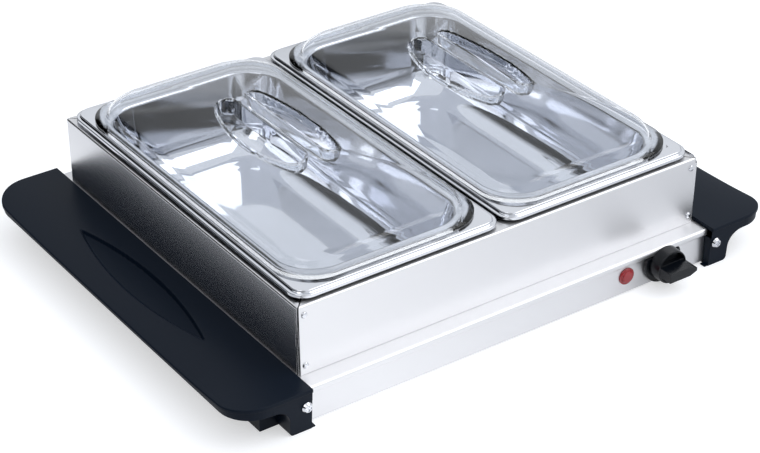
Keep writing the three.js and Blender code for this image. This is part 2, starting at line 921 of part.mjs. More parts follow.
function flattedShaft(radius, flat, y0, y1) {
  const { height } = thermostat;
  const round = rod(radius, y1 - y0, back, [dialX, y0, height]);
  const above = height + flat;
  return cut(round, block([dialX - radius, dialX + radius], [y0 - overrun, y1 + overrun], [above, above + radius]));
}

function thermostatShaft() {
  const inner = -apronFace + sheet + seat + thermostat.boreDepth - clearance;
  return flattedShaft(knob.shaftRadius, knob.shaftFlat, -knobBack - knob.boreDepth + clearance, inner);
}

function knobBezel() {
  const { bezelRadius, bezelThickness, bezelBore } = knob;
  const { height } = thermostat;
  const near = -apronFace - seat;
  const far = near - bezelThickness;
  const disc = rod(bezelRadius, bezelThickness, back, [dialX, far, height], facets.dial);
  const trim = block(
    [dialX - bezelRadius, dialX + bezelRadius],
    [far - overrun, near + overrun],
    [lipBottom - clearance, lipBottom + bezelRadius],
  );
  const bore = rod(bezelBore, bezelThickness + overrun + overrun, back, [dialX, far - overrun, height]);
  return cut(disc, trim, bore);
}

function controlKnob() {
  const { rearRadius, frontRadius, edge, bodyLength, rimWall, pocketDepth } = knob;
  const { barHalfThickness, barTail, barShoulder, barPoint, shaftRadius, shaftFlat, boreDepth } = knob;
  const { height } = thermostat;
  const body = turned([
    [0, 0],
    [rearRadius, 0],
    [frontRadius, bodyLength - edge],
    [frontRadius - edge, bodyLength],
    [0, bodyLength],
  ], front, [dialX, -knobBack, height], facets.dial);
  const pocketFloor = -knobFront + pocketDepth;
  const pocket = rod(frontRadius - rimWall, pocketDepth + overrun, front, [dialX, pocketFloor, height], facets.dial);
  const bar = alongY(outline([
    [dialX - barTail, height - barHalfThickness],
    [dialX + barShoulder, height - barHalfThickness],
    [dialX + barPoint, height],
    [dialX + barShoulder, height + barHalfThickness],
    [dialX - barTail, height + barHalfThickness],
  ]), [-gripEnd, -knobFront + edge]);
  const root = alongY(outline([
    [dialX - frontRadius + rimWall, height - barHalfThickness],
    [dialX + frontRadius - rimWall, height - barHalfThickness],
    [dialX + frontRadius - rimWall, height + barHalfThickness],
    [dialX - frontRadius + rimWall, height + barHalfThickness],
  ]), [-knobFront + edge / 2, pocketFloor + edge]);
  const bore = flattedShaft(shaftRadius + clearance, shaftFlat + clearance, -knobBack - boreDepth, -knobBack + overrun);
  return cut(join(cut(body, pocket), bar, root), bore);
}

function lampLens() {
  const { height, lensRadius, lensRim, domeHeight, domeSteps, barrelRadius, barrelLength } = lamp;
  const seatFace = -apronFace - seat;
  const dome = domed(lensRadius, domeHeight, domeSteps).slice(2).map(([radius, rise]) => [radius, rise + lensRim]);
  return join(
    turned([[0, 0], [lensRadius, 0], [lensRadius, lensRim], ...dome], front, [lampX, seatFace, height], facets.lens),
    rod(barrelRadius, barrelLength + lensRim, back, [lampX, seatFace - lensRim, height]),
  );
}

function lampBody() {
  const { height, bodyRadius, bodyLength, pinWidth } = lamp;
  const half = pinWidth / 2;
  const pins = sides.map(([, side]) => {
    const middle = lampX + (side * bodyRadius) / 2;
    return block(
      [middle - half, middle + half],
      [lampStart + bodyLength - sheet, lampPinEnd],
      [height - half, height + half],
    );
  });
  return join(rod(bodyRadius, bodyLength, back, [lampX, lampStart, height], facets.stud), ...pins);
}

function lampClip() {
  const { height, clipRadius, clipThickness, barrelRadius } = lamp;
  const start = -apronFace + sheet + seat;
  return cut(
    rod(clipRadius, clipThickness, back, [lampX, start, height]),
    rod(barrelRadius + clearance, clipThickness + overrun + overrun, back, [lampX, start - overrun, height]),
  );
}

// Wiring parts at the back of the base

function cordInlet() {
  const { height, flangeRadius, flangeThickness, barrelRadius, collarRadius, collarThickness, bore } = inlet;
  const outer = apronFace + seat;
  const inner = apronFace - sheet - seat;
  const boreStart = inner - collarThickness - overrun;
  const boreEnd = outer + flangeThickness + overrun;
  return cut(
    join(
      rod(flangeRadius, flangeThickness, back, [inletX, outer, height], facets.bushing),
      rod(barrelRadius, outer - inner + sheet + sheet, back, [inletX, inner - sheet, height], facets.bushing),
      rod(collarRadius, collarThickness, front, [inletX, inner, height], facets.bushing),
    ),
    rod(bore, boreEnd - boreStart, back, [inletX, boreStart, height]),
  );
}

function terminalBlock() {
  const { setback, width, deep, tall, wellRadius, wellDepth, pitch } = terminal;
  const y = apronFace - setback;
  const low = coverTop + seat;
  const body = block(
    [terminalX - width / 2, terminalX + width / 2],
    [y - deep / 2, y + deep / 2],
    [low, low + tall],
  );
  const wells = [-1, 0, 1].map((step) => rod(
    wellRadius,
    wellDepth + overrun,
    up,
    [terminalX + step * pitch, y, low + tall - wellDepth],
    facets.stud,
  ));
  return cut(body, ...wells);
}

function thermalFuse() {
  return rod(fuse.radius, fuse.length, back, [fuse.x, fuse.y - fuse.length / 2, fuseHeight], facets.stud);
}

function fuseClip() {
  const { x, y, radius, clipWidth, clipWall, clipFoot } = fuse;
  const room = radius + clearance;
  const low = fuseHeight - room;
  const outerX = room + clipWall;
  const strap = cut(
    block([x - outerX, x + outerX], [y - clipWidth / 2, y + clipWidth / 2], [low - clipWall, heaterTop]),
    block([x - room, x + room], [y - clipWidth, y + clipWidth], [low, heaterTop + overrun]),
  );
  const feet = sides.map(([, side]) => {
    const near = x + side * (outerX - clipWall / 2);
    const far = x + side * (outerX + clipFoot);
    return block(
      [Math.min(near, far), Math.max(near, far)],
      [y - clipWidth / 2, y + clipWidth / 2],
      [heaterTop - clipWall, heaterTop],
    );
  });
  return join(strap, ...feet);
}

function earthStud() {
  const { x, radius, length, nutRadius, nutHeight } = earth;
  return join(
    rod(radius, length, down, [x, earthY, heaterTop], facets.stud),
    rod(nutRadius, nutHeight, down, [x, earthY, heaterTop - nutHeight / 2], facets.nut),
  );
}

function wire(points) {
  const path = new THREE.CatmullRomCurve3(points.map(([x, y, z]) => new THREE.Vector3(x, y, z)), false, 'centripetal');
  const section = [];
  for (let i = 0; i < lead.sides; i += 1) {
    const angle = (fullTurn * i) / lead.sides;
    section.push([lead.radius * Math.cos(angle), lead.radius * Math.sin(angle)]);
  }
  return solid(new THREE.ExtrudeGeometry(outline(section), { steps: lead.steps, extrudePath: path }));
}

function heaterLead() {
  const start = [dialX + thermostat.bladePitch / 2, bladeEnd + lead.gap, thermostat.height];
  const end = [panX + heater.terminalPitch / 2, heaterTabEnd - lead.gap, heaterBottom + sheet / 2];
  return wire([
    start,
    [start[0], start[1] + lead.sag, start[2]],
    [end[0] + lead.swing, end[1] - lead.swing, (start[2] + end[2]) / 2],
    [end[0], end[1] - lead.sag, end[2]],
    end,
  ]);
}

function lampLead() {
  const start = [lampX + lamp.bodyRadius / 2, lampPinEnd + lead.gap, lamp.height];
  const end = [dialX - thermostat.bladePitch / 2, bladeEnd + lead.gap, thermostat.height];
  return wire([
    start,
    [start[0], start[1] + lead.sag, start[2]],
    [(start[0] + end[0]) / 2, end[1] + lead.sag, start[2] - lead.sag],
    [end[0], end[1] + lead.sag, end[2]],
    end,
  ]);
}

function fuseLead() {
  const fuseEnd = fuse.y + fuse.length / 2;
  const blockY = apronFace - terminal.setback;
  const blockX = terminalX - terminal.width / 2;
  return wire([
    [fuse.x, fuseEnd + lead.gap, fuseHeight],
    [fuse.x, fuseEnd + lead.swing, fuseHeight],
    [fuse.x + lead.swing, blockY - lead.turn, lead.low],
    [blockX - lead.approach, blockY - lead.swing, lead.low],
    [blockX - lead.swing, blockY, lead.low],
    [blockX - lead.gap, blockY, lead.low],
  ]);
}

// Buffet frame: four folded panels, riveted at the corners, with a cross bar between the pans

function endPanel() {
  const section = foldedSection([
    [-halfDepth + frame.flange, frameTop],
    [-halfDepth, frameTop],
    [-halfDepth, frameFoot],
  ], frame.bend);
  const reach = halfWidth - frame.edgeGap;
  const wall = alongX(section, [-reach, reach]);
  const miters = sides.map(([, side]) => {
    const corner = side * (halfWidth - frame.mitreGap);
    const far = side * (halfWidth + overrun);
    return alongZ(outline([
      [corner, -halfDepth],
      [far, -halfDepth],
      [far, -halfDepth + frame.flange + overrun],
      [corner - side * (frame.flange + overrun), -halfDepth + frame.flange + overrun],
    ]), [frameTop - frame.bend, frameTop + overrun]);
  });
  return cut(wall, ...miters, ...rivetHoles());
}

function rivetHoles() {
  const holes = [];
  for (const [, side] of sides) {
    for (const height of [rivet.lowHeight, rivetHigh]) {
      holes.push(rod(
        rivet.shankRadius + clearance,
        overrun + overrun,
        back,
        [side * (halfWidth - rivet.inset), -halfDepth - overrun, base.plateTop + height],
        facets.stud,
      ));
    }
  }
  return holes;
}

function sidePanel() {
  const inner = halfDepth - sheet - seat;
  const wallSection = foldedSection([
    [-halfWidth, frameFoot],
    [-halfWidth, frameTop],
    [-halfWidth + frame.flange, frameTop],
  ].reverse(), frame.bend);
  const straight = inner - frame.bend;
  const wall = alongY(wallSection, [-straight, straight]);
  const plan = foldedSection([
    [-halfWidth + frame.edgeReturn, inner],
    [-halfWidth, inner],
    [-halfWidth, -inner],
    [-halfWidth + frame.edgeReturn, -inner],
  ], frame.bend);
  const returns = alongZ(plan, [frameFoot, frameTop - frame.bend - clearance]);
  const miters = ends.map(([, end]) => {
    const corner = end * (halfDepth - frame.mitreGap);
    const far = end * (halfDepth + overrun);
    const deep = frame.flange + overrun;
    return alongZ(outline([
      [-halfWidth, corner],
      [-halfWidth, far],
      [-halfWidth + deep, far],
      [-halfWidth + deep, corner - end * deep],
    ]), [frameTop - frame.bend, frameTop + overrun]);
  });
  return cut(join(wall, returns), ...miters, ...rivetHoles(), ...rivetHoles().map((hole) => mirrored(hole, 'y')));
}

function crossBar() {
  const { barWidth, barDepth, barLip } = frame;
  const top = frameTop - sheet - seat;
  const section = foldedSection([
    [-barWidth / 2, top - barDepth],
    [-barWidth / 2, top],
    [barWidth / 2, top],
    [barWidth / 2, top - barDepth],
  ].reverse(), frame.bend);
  const reach = halfDepth - sheet - barLip;
  return alongY(section, [-reach, reach]);
}

function frameRivet(x, height) {
  const { headRadius, headHeight, shankRadius, tailRadius, tailHeight } = rivet;
  const outside = -halfDepth - seat;
  const inside = -halfDepth + sheet + seat + sheet + seat;
  const z = base.plateTop + height;
  return join(
    turned(domed(headRadius, headHeight), front, [x, outside, z], facets.shank),
    rod(shankRadius, inside - outside + sheet + sheet / 2, back, [x, outside - sheet / 2, z], facets.shank),
    rod(tailRadius, tailHeight, back, [x, inside, z], facets.shank),
  );
}

// Food pan: a thin drawn shell with a flat rim and a stepped, turned-down edge

function panBody(x) {
  const outerX = (halfWidth - pan.rimInset - pan.rimGap / 2) / 2;
  const outerY = halfDepth - pan.rimInset;
  const edgeX = outerX - pan.stepOut;
  const edgeY = outerY - pan.stepOut;
  const openX = edgeX - pan.flatX;
  const openY = edgeY - pan.flatY;
  const rimRing = (inset, z) => centredRing(x, outerX - inset, outerY - inset, pan.rimRadius - inset, z);
  const openRing = (spread, z) => centredRing(x, openX + spread, openY + spread, pan.openingRadius + spread, z);
  const floorTop = frameFoot + sheet;
  // one skin of the bowl, from the floor's edge to the flat rim; thickness is 0 inside and the sheet outside
  const bowl = (thickness) => {
    const rings = [];
    for (let i = 0; i <= pan.filletSteps; i += 1) {
      const angle = (quarterTurn * i) / pan.filletSteps;
      const spread = -pan.draft - pan.floorFillet + (pan.floorFillet + thickness) * Math.sin(angle);
      rings.push(openRing(spread, floorTop + pan.floorFillet - (pan.floorFillet + thickness) * Math.cos(angle)));
    }
    const bend = pan.openingBend - thickness;
    for (let i = 0; i <= 2; i += 1) {
      const angle = (quarterTurn * i) / 2;
      const spread = pan.openingBend - bend * Math.cos(angle);
      rings.push(openRing(spread, rimTop - pan.openingBend + bend * Math.sin(angle)));
    }
    return rings;
  };
  const { stepOut, stepDown, rimBend, rimEdge } = pan;
  const rimBottom = rimTop - rimEdge;
  const under = [
    rimRing(stepOut + sheet, rimTop - sheet),
    rimRing(stepOut + sheet, rimTop - stepDown - sheet),
    rimRing(sheet, rimTop - stepDown - sheet),
    rimRing(sheet, rimBottom),
  ];
  const over = [
    rimRing(0, rimBottom),
    rimRing(0, rimTop - stepDown - rimBend),
    rimRing(rimBend, rimTop - stepDown),
    rimRing(stepOut, rimTop - stepDown),
    rimRing(stepOut, rimTop - rimBend),
    rimRing(stepOut + rimBend, rimTop),
  ];
  return stacked([...bowl(sheet), ...under, ...over, ...bowl(0).reverse()], pan.cornerSteps);
}

// Clear lid: a flange, a short wall and a crowned dome with two finger pockets beside a grip bar

function lidRings(x, offset, foot) {
  const { halfX, halfY, wallInset, wallLean, wallHeight, wallRadius } = lid;
  const { shoulder, shoulderTurn, shoulderRadius, shoulderSteps } = lid;
  const { crown, crownRidge, crownPower, crownRound, crownTip, crownSteps } = lid;
  const ring = (inset, radius, z) => centredRing(
    x,
    halfX - inset - offset,
    halfY - inset - offset,
    radius - offset,
    z,
  );
  const wallTop = lidFoot + wallHeight;
  const rings = [ring(wallInset, wallRadius, foot), ring(wallInset + wallLean, wallRadius, wallTop)];
  const bend = shoulder - offset;
  for (let i = 1; i <= shoulderSteps; i += 1) {
    const share = i / shoulderSteps;
    const angle = shoulderTurn * share;
    rings.push(ring(
      wallInset + wallLean + bend * (1 - Math.cos(angle)),
      wallRadius + (shoulderRadius - wallRadius) * share,
      wallTop + bend * Math.sin(angle),
    ));
  }
  const last = rings[rings.length - 1];
  const lastX = (last.x[1] - last.x[0]) / 2;
  const lastY = last.y[1];
  const ridge = crownRidge / 2;
  const roundShare = last.radii[0] / lastX;
  const rise = lidFoot + crown - offset - last.z;
  for (let i = 1; i <= crownSteps; i += 1) {
    const rest = Math.max(1 - i / crownSteps, crownTip);
    const corner = crownRound + (roundShare - crownRound) * rest;
    rings.push(centredRing(
      x,
      lastX * rest,
      ridge + (lastY - ridge) * rest,
      lastX * rest * corner,
      last.z + rise * (1 - rest ** crownPower),
    ));
  }
  return rings;
}

// A half-moon beside the grip bar, grown by a margin: a straight side, two round corners and an arc
function gripOutline(x, side, margin) {
  const { gripLength, gripWidth, gripCorner, gripBar, gripSteps } = lid;
  const chord = gripLength / 2 - gripCorner;
  const bulge = gripWidth - 2 * gripCorner;
  const arcRadius = (chord * chord + bulge * bulge) / (2 * bulge);
  const sweep = Math.asin(chord / arcRadius);
  const inner = gripBar / 2 + gripCorner;
  const corner = gripCorner + margin;
  const points = [];
  const sweepRound = (middle, along, radius, from, to) => {
    for (let i = 0; i <= gripSteps; i += 1) {
      const angle = from + ((to - from) * i) / gripSteps;
      points.push([
        x + side * (middle + radius * Math.cos(angle)),
        side * (along + radius * Math.sin(angle)),
      ]);
    }
  };
  sweepRound(inner + bulge - arcRadius, 0, arcRadius + corner, -sweep, sweep);
  sweepRound(inner, chord, corner, sweep + meetingAngle, Math.PI);
  sweepRound(inner, -chord, corner, Math.PI, fullTurn - sweep - meetingAngle);
  return outline(points);
}

function lidBody(x) {
  const { halfX, halfY, radius, thickness, crown, gripDepth } = lid;
  const flangeRings = [
    centredRing(x, halfX, halfY, radius, lidFoot),
    centredRing(x, halfX, halfY, radius, lidFoot + thickness),
  ];
  const outer = join(stacked(flangeRings, pan.cornerSteps), stacked(lidRings(x, 0, lidFoot), pan.cornerSteps));
  const hollow = stacked(lidRings(x, thickness, lidFoot - overrun), pan.cornerSteps);
  const pocketFloor = lidFoot + crown - gripDepth;
  const cups = sides.map(([, side]) => alongZ(
    gripOutline(x, side, thickness),
    [pocketFloor - thickness, lidFoot + crown + overrun],
  ).intersect(outer));
  const pockets = sides.map(([, side]) => alongZ(
    gripOutline(x, side, 0),
    [pocketFloor, lidFoot + crown + overrun],
  ));
  return cut(join(cut(outer, hollow), ...cups), ...pockets);
}

// The whole object

const warmer = new THREE.Group();
const centred = new THREE.Group();
centred.position.y = (gripEnd - handleEnd) / 2;
warmer.add(centred);

function add(name, body, material) {
  named(name, body, material, centred);
}

add('warming_plate', warmingPlate(), brushedSteel);
add('front_apron', frontApron(), brushedSteel);
add('rear_apron', rearApron(), brushedSteel);
add('bottom_cover', bottomCover(), zincSteel);
for (const [place, x, y] of spacerPlaces) {
  add(`cover_spacer_${place}`, coverSpacer(x, y), zincSteel);
  add(`cover_screw_${place}`, coverScrew(x, y), zincSteel);
}

const rightHandle = sideHandle();
add('handle_right', rightHandle, blackPlastic);
add('handle_left', mirrored(rightHandle, 'x'), blackPlastic);
const frontRightScrew = handleScrewBody();
add('handle_screw_front_right', frontRightScrew, polishedSteel);
add('handle_screw_front_left', mirrored(frontRightScrew, 'x'), polishedSteel);
add('handle_screw_rear_right', mirrored(frontRightScrew, 'y'), polishedSteel);
add('handle_screw_rear_left', mirrored(mirrored(frontRightScrew, 'y'), 'x'), polishedSteel);

for (const [side, sign] of sides) {
  const x = sign * panX;
  add(`heater_${side}`, heaterPlate(x), micaBoard);
  add(`insulation_${side}`, insulationPad(x), woolPad);
  add(`clamp_plate_${side}`, clampPlate(x), zincSteel);
  for (const [end, along] of ends) {
    add(`clamp_stud_${end}_${side}`, clampStud(x, along * heater.studOffset), zincSteel);
  }
}

add('thermostat_body', thermostatBody(), ceramic);
add('thermostat_shaft', thermostatShaft(), zincSteel);
add('knob_bezel', knobBezel(), blackPlastic);
add('control_knob', controlKnob(), blackPlastic);
add('lamp_lens', lampLens(), redLens);
add('lamp_body', lampBody(), ceramic);
add('lamp_clip', lampClip(), zincSteel);
add('cord_inlet', cordInlet(), blackPlastic);
add('terminal_block', terminalBlock(), ceramic);
add('thermal_fuse', thermalFuse(), zincSteel);
add('fuse_clip', fuseClip(), zincSteel);
add('earth_stud', earthStud(), zincSteel);
add('lead_heater', heaterLead(), redLead);
add('lead_lamp', lampLead(), redLead);
add('lead_fuse', fuseLead(), redLead);

const frontPanel = endPanel();
add('frame_front', frontPanel, brushedSteel);
add('frame_rear', mirrored(frontPanel, 'y'), brushedSteel);
const leftPanel = sidePanel();
add('frame_left', leftPanel, brushedSteel);
add('frame_right', mirrored(leftPanel, 'x'), brushedSteel);
add('frame_cross_bar', crossBar(), brushedSteel);
for (const [side, sign] of sides) {
  for (const [level, height] of [['low', rivet.lowHeight], ['high', rivetHigh]]) {
    const body = frameRivet(sign * (halfWidth - rivet.inset), height);
    add(`rivet_front_${side}_${level}`, body, polishedSteel);
    add(`rivet_rear_${side}_${level}`, mirrored(body, 'y'), polishedSteel);
  }
}

for (const [side, sign] of sides) {
  add(`pan_${side}`, panBody(sign * panX), polishedSteel);
  add(`lid_${side}`, lidBody(sign * panX), clearPlastic);
}

export default warmer;
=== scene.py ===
"""Electric buffet warmer: a folded steel frame on a heated base, pans, clear lids and side handles."""

import json
import math

import bmesh
import bpy
from mathutils import Matrix, Vector

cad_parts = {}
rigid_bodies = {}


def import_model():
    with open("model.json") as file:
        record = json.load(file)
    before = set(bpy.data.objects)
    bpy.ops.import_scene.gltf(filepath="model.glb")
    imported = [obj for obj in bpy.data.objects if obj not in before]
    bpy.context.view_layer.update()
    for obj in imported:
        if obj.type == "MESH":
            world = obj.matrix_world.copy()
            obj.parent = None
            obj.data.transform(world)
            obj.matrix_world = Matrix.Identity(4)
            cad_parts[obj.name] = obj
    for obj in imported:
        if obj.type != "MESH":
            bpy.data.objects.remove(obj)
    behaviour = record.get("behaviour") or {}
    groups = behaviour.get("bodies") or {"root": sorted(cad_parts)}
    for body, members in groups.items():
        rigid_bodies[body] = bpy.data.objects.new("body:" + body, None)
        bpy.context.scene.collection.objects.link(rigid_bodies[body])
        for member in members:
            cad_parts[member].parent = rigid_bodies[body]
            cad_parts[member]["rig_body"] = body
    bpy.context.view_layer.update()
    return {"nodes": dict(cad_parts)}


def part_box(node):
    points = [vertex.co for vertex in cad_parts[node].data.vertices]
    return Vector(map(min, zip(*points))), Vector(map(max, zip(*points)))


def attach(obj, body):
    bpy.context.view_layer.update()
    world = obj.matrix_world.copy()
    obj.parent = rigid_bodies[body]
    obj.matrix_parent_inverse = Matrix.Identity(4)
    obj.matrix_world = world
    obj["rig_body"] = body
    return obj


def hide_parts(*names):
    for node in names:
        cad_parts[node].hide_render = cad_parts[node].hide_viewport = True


MM = 0.001

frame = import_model()

# Shapes are worked out in millimetres about the middle of the lift-off frame, and moved back by this much.
MIDDLE_Y = (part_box("frame_front")[0].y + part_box("frame_rear")[1].y) / 2 / MM

# ---- camera, at the photograph's viewing angle

CAMERA_PLACE = (-802.0, -1178.0, 867.8)  # mm, from the middle of the frame at the feet
CAMERA_TURN = 34.34  # degrees left of the front
CAMERA_RISE = 31.11  # degrees above level
CAMERA_ROLL = -0.557
FOCAL_LENGTH = 106.06


def photo_camera():
    turn, rise, roll = (math.radians(a) for a in (CAMERA_TURN, CAMERA_RISE, CAMERA_ROLL))
    level_back = Vector((-math.sin(turn), -math.cos(turn), 0))
    back = level_back * math.cos(rise) + Vector((0, 0, math.sin(rise)))
    level = Vector((math.cos(turn), -math.sin(turn), 0))
    upright = back.cross(level)
    right = level * math.cos(roll) + upright * math.sin(roll)
    up = upright * math.cos(roll) - level * math.sin(roll)
    camera = bpy.data.objects.new("photo_camera", bpy.data.cameras.new("photo_camera"))
    camera.data.sensor_width = 36
    camera.data.lens = FOCAL_LENGTH
    place = Vector(CAMERA_PLACE) + Vector((0, MIDDLE_Y, 0))
    facing = Matrix((right, up, back)).transposed().to_4x4()
    camera.matrix_world = Matrix.Translation(place * MM) @ facing
    bpy.context.scene.collection.objects.link(camera)
    bpy.context.scene.camera = camera


photo_camera()

# ---- sizes

GAP = 0.1  # between pieces that touch in life
SHEET = 0.8
FRAME_HALF_X = 170.0
FRAME_HALF_Y = 157.5
FRAME_FOOT = 30.1
FRAME_TOP = 83.4
FRAME_FLANGE = 13.0
FRAME_BEND = 1.6
PLATE_TOP = 30.0
PLATE_HALF_X = 171.5
PLATE_HALF_Y = 171.9
LIP_BOTTOM = 24.4
LIP_BEND = 2.2
APRON_FACE = 168.9
APRON_TOP = 29.1
APRON_FOOT = 1.2
RIM_TOP = 89.6
LID_FOOT = 89.7
LID_THICKNESS = 2.0
PAN_MIDDLE = 84.25
KNOB_X = 130.5
KNOB_Z = 17.5
LAMP_X = 98.5
LAMP_Z = 15.5
INLET_X = 115.0
INLET_Z = 12.6
HANDLE_INNER = 171.8
HANDLE_OUTER = 229.42
HANDLE_END = 177.6
HANDLE_TOP = 32.8
HANDLE_RADII = {1: 30.0, -1: 25.0}  # outer corners at the rear and at the front
SKIRT_BOTTOM = 23.5
LEG_TOP = 30.0

# ---- bmesh helpers, all in millimetres


def bevelled(bm, geom, offset, segments, affect="VERTICES"):
    bmesh.ops.bevel(
        bm, geom=geom, offset=offset, offset_type="OFFSET", segments=segments,
        profile=0.5, affect=affect, material=-1, clamp_overlap=False,
    )


def ring_loop(bm, half_x, half_y, radius, z, segments, centre_x=0.0):
    """The edges of a rounded rectangle: a face whose corners are bevelled, without its face."""
    corners = [
        bm.verts.new((centre_x + sx * half_x, sy * half_y, z))
        for sx, sy in ((1, 1), (-1, 1), (-1, -1), (1, -1))
    ]
    known = set(bm.faces)
    bm.faces.new(corners)
    bevelled(bm, corners, radius, segments)
    face = next(f for f in bm.faces if f not in known)
    edges = list(face.edges)
    bmesh.ops.delete(bm, geom=[face], context="FACES_ONLY")
    return edges


def loft(bm, rings, segments, centre_x=0.0):
    """Rounded rectangles joined one to the next: each ring is (half x, half y, corner radius, z)."""
    loops = [ring_loop(bm, *ring, segments, centre_x) for ring in rings]
    for near, far in zip(loops, loops[1:]):
        bmesh.ops.bridge_loops(bm, edges=near + far)
    return loops


def verts_in(geom):
    return [g for g in geom if isinstance(g, bmesh.types.BMVert)]


def edges_in(geom):
    return [g for g in geom if isinstance(g, bmesh.types.BMEdge)]


def folded(bm, corners, place, length):
    """A folded sheet's outside: a chain of corners drawn out along one axis.

    place(u, v, along) turns a corner into a point, and length is (start, end). Returns the edges
    to be rounded as folds."""
    start, end = length
    verts = [bm.verts.new(place(u, v, start)) for u, v in corners]
    edges = [bm.edges.new(pair) for pair in zip(verts, verts[1:])]
    far = verts_in(bmesh.ops.extrude_edge_only(bm, edges=edges)["geom"])
    bmesh.ops.translate(bm, verts=far, vec=Vector(place(0, 0, end)) - Vector(place(0, 0, start)))
    return [e for v in verts[1:-1] for e in v.link_edges if e.other_vert(v) in far]


def across_x(u, v, along):
    return (along, u, v)


def across_y(u, v, along):
    return (u, along, v)


MERGE = 0.0005  # points nearer than this are one


def lathe(bm, profile, centre, direction, steps):
    """A closed turned piece: profile is (radius, distance along direction), axis back to axis."""
    direction = Vector(direction)
    side = Vector((0, 0, 1)) if abs(direction.z) < 0.5 else Vector((1, 0, 0))
    origin = Vector(centre)
    verts = [bm.verts.new(origin + side * r + direction * d) for r, d in profile]
    edges = [bm.edges.new(pair) for pair in zip(verts, verts[1:])]
    bmesh.ops.spin(
        bm, geom=verts + edges, cent=origin, axis=direction, dvec=(0, 0, 0), angle=math.tau,
        steps=steps, use_merge=True, use_duplicate=False,
    )
    bmesh.ops.remove_doubles(bm, verts=bm.verts, dist=MERGE)


def quarter_turn(steps):
    """The sine and cosine of angles evenly spread from 0 to 90 degrees."""
    return [(math.sin(a), math.cos(a)) for a in (math.pi / 2 * i / steps for i in range(steps + 1))]


def dome(radius, height, steps):
    """A quarter ellipse's profile, from the axis out to the rim."""
    return [(radius * s, height * c) for s, c in quarter_turn(steps)]


def box(bm, x, y, z):
    centre = [(a + b) / 2 for a, b in (x, y, z)]
    size = [b - a for a, b in (x, y, z)]
    made = bmesh.ops.create_cube(bm, size=1)["verts"]
    bmesh.ops.scale(bm, vec=size, verts=made)
    bmesh.ops.translate(bm, vec=centre, verts=made)
    return made


def prism(bm, points, place, length):
    """A flat outline drawn out into a solid."""
    start, end = length
    face = bm.faces.new([bm.verts.new(place(u, v, start)) for u, v in points])
    far = verts_in(bmesh.ops.extrude_face_region(bm, geom=[face], use_keep_orig=True)["geom"])
    bmesh.ops.translate(bm, verts=far, vec=Vector(place(0, 0, end)) - Vector(place(0, 0, start)))


def aim(bm, away_from=None):
    """Turns a sheet's faces up, or away from a point inside it."""
    bmesh.ops.recalc_face_normals(bm, faces=bm.faces)
    bm.normal_update()
    if away_from is None:
        total = sum(f.normal.z * f.calc_area() for f in bm.faces)
    else:
        inside = Vector(away_from)
        total = sum(
            f.normal.dot(f.calc_center_median() - inside) * f.calc_area() for f in bm.faces
        )
    if total < 0:
        bmesh.ops.reverse_faces(bm, faces=bm.faces)


def piece(
    name, bm, nodes, material, wall=0.0, edge=0.0, edge_angle=40, sharp=32, segments=2,
):
    """Moves the bmesh into place as one named piece that rides where its CAD nodes do.

    wall thickens a sheet inwards, and edge rounds the edges that turn by more than edge_angle."""
    if not wall:
        bmesh.ops.recalc_face_normals(bm, faces=bm.faces)
    bmesh.ops.translate(bm, vec=(0, MIDDLE_Y, 0), verts=bm.verts)
    bmesh.ops.scale(bm, vec=(MM, MM, MM), verts=bm.verts)
    mesh = bpy.data.meshes.new(name)
    bm.to_mesh(mesh)
    bm.free()
    mesh.polygons.foreach_set("use_smooth", [True] * len(mesh.polygons))
    mesh.set_sharp_from_angle(angle=math.radians(sharp))
    obj = bpy.data.objects.new(name, mesh)
    bpy.context.scene.collection.objects.link(obj)
    if wall:
        solid = obj.modifiers.new("sheet_thickness", "SOLIDIFY")
        solid.thickness = wall * MM
        solid.offset = -1
        solid.use_even_offset = True
    if edge:
        rounding = obj.modifiers.new("edge_rounding", "BEVEL")
        rounding.width = edge * MM
        rounding.segments = segments
        rounding.limit_method = "ANGLE"
        rounding.angle_limit = math.radians(edge_angle)
        rounding.use_clamp_overlap = True
        flat = obj.modifiers.new("flat_faces_stay_flat", "WEIGHTED_NORMAL")
        flat.keep_sharp = True
    mesh.materials.append(material)
    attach(obj, frame["nodes"][nodes[0]]["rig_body"])
    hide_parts(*nodes)


def from_node(name, node, material):
    """A node's own solid with its flat faces joined and its edges softened."""
    bm = bmesh.new()
    bm.from_mesh(frame["nodes"][node].data)
    bmesh.ops.remove_doubles(bm, verts=bm.verts, dist=1e-6)
    bmesh.ops.dissolve_limit(bm, angle_limit=math.radians(1), verts=bm.verts, edges=bm.edges)
    bmesh.ops.scale(bm, vec=(1 / MM, 1 / MM, 1 / MM), verts=bm.verts)
    bmesh.ops.translate(bm, vec=(0, -MIDDLE_Y, 0), verts=bm.verts)
    piece(name, bm, [node], material, edge=0.1, sharp=35)


# ---- materials


def linear(code):
    """An sRGB hex colour as linear RGBA."""
    channels = [int(code[i:i + 2], 16) / 255 for i in (1, 3, 5)]
    return [c / 12.92 if c <= 0.04045 else ((c + 0.055) / 1.055) ** 2.4 for c in channels] + [1.0]


def add(tree, kind, settings=None, links=None):
    """Adds a node, sets its properties and inputs, and links its inputs to (node, output) pairs."""
    node = tree.nodes.new(kind)
    for key, value in (settings or {}).items():
        if isinstance(key, str) and hasattr(node, key):
            setattr(node, key, value)
        else:
            node.inputs[key].default_value = value
    for key, (source, output) in (links or {}).items():
        tree.links.new(source.outputs[output], node.inputs[key])
    return node


def surface(name, colour, settings):
    """A Principled material; returns it with its tree and shader."""
    material = bpy.data.materials.new(name)
    material.use_nodes = True
    tree = material.node_tree
    shader = tree.nodes["Principled BSDF"]
    shader.inputs["Base Color"].default_value = linear(colour)
    for key, value in settings.items():
        shader.inputs[key].default_value = value
    return material, tree, shader


def ramp(tree, source, start, end, low, high):
    """Goes from low to high while source, a (node, output) pair, goes from start to end."""
    return add(tree, "ShaderNodeMapRange", {1: start, 2: end, 3: low, 4: high}, {0: source})


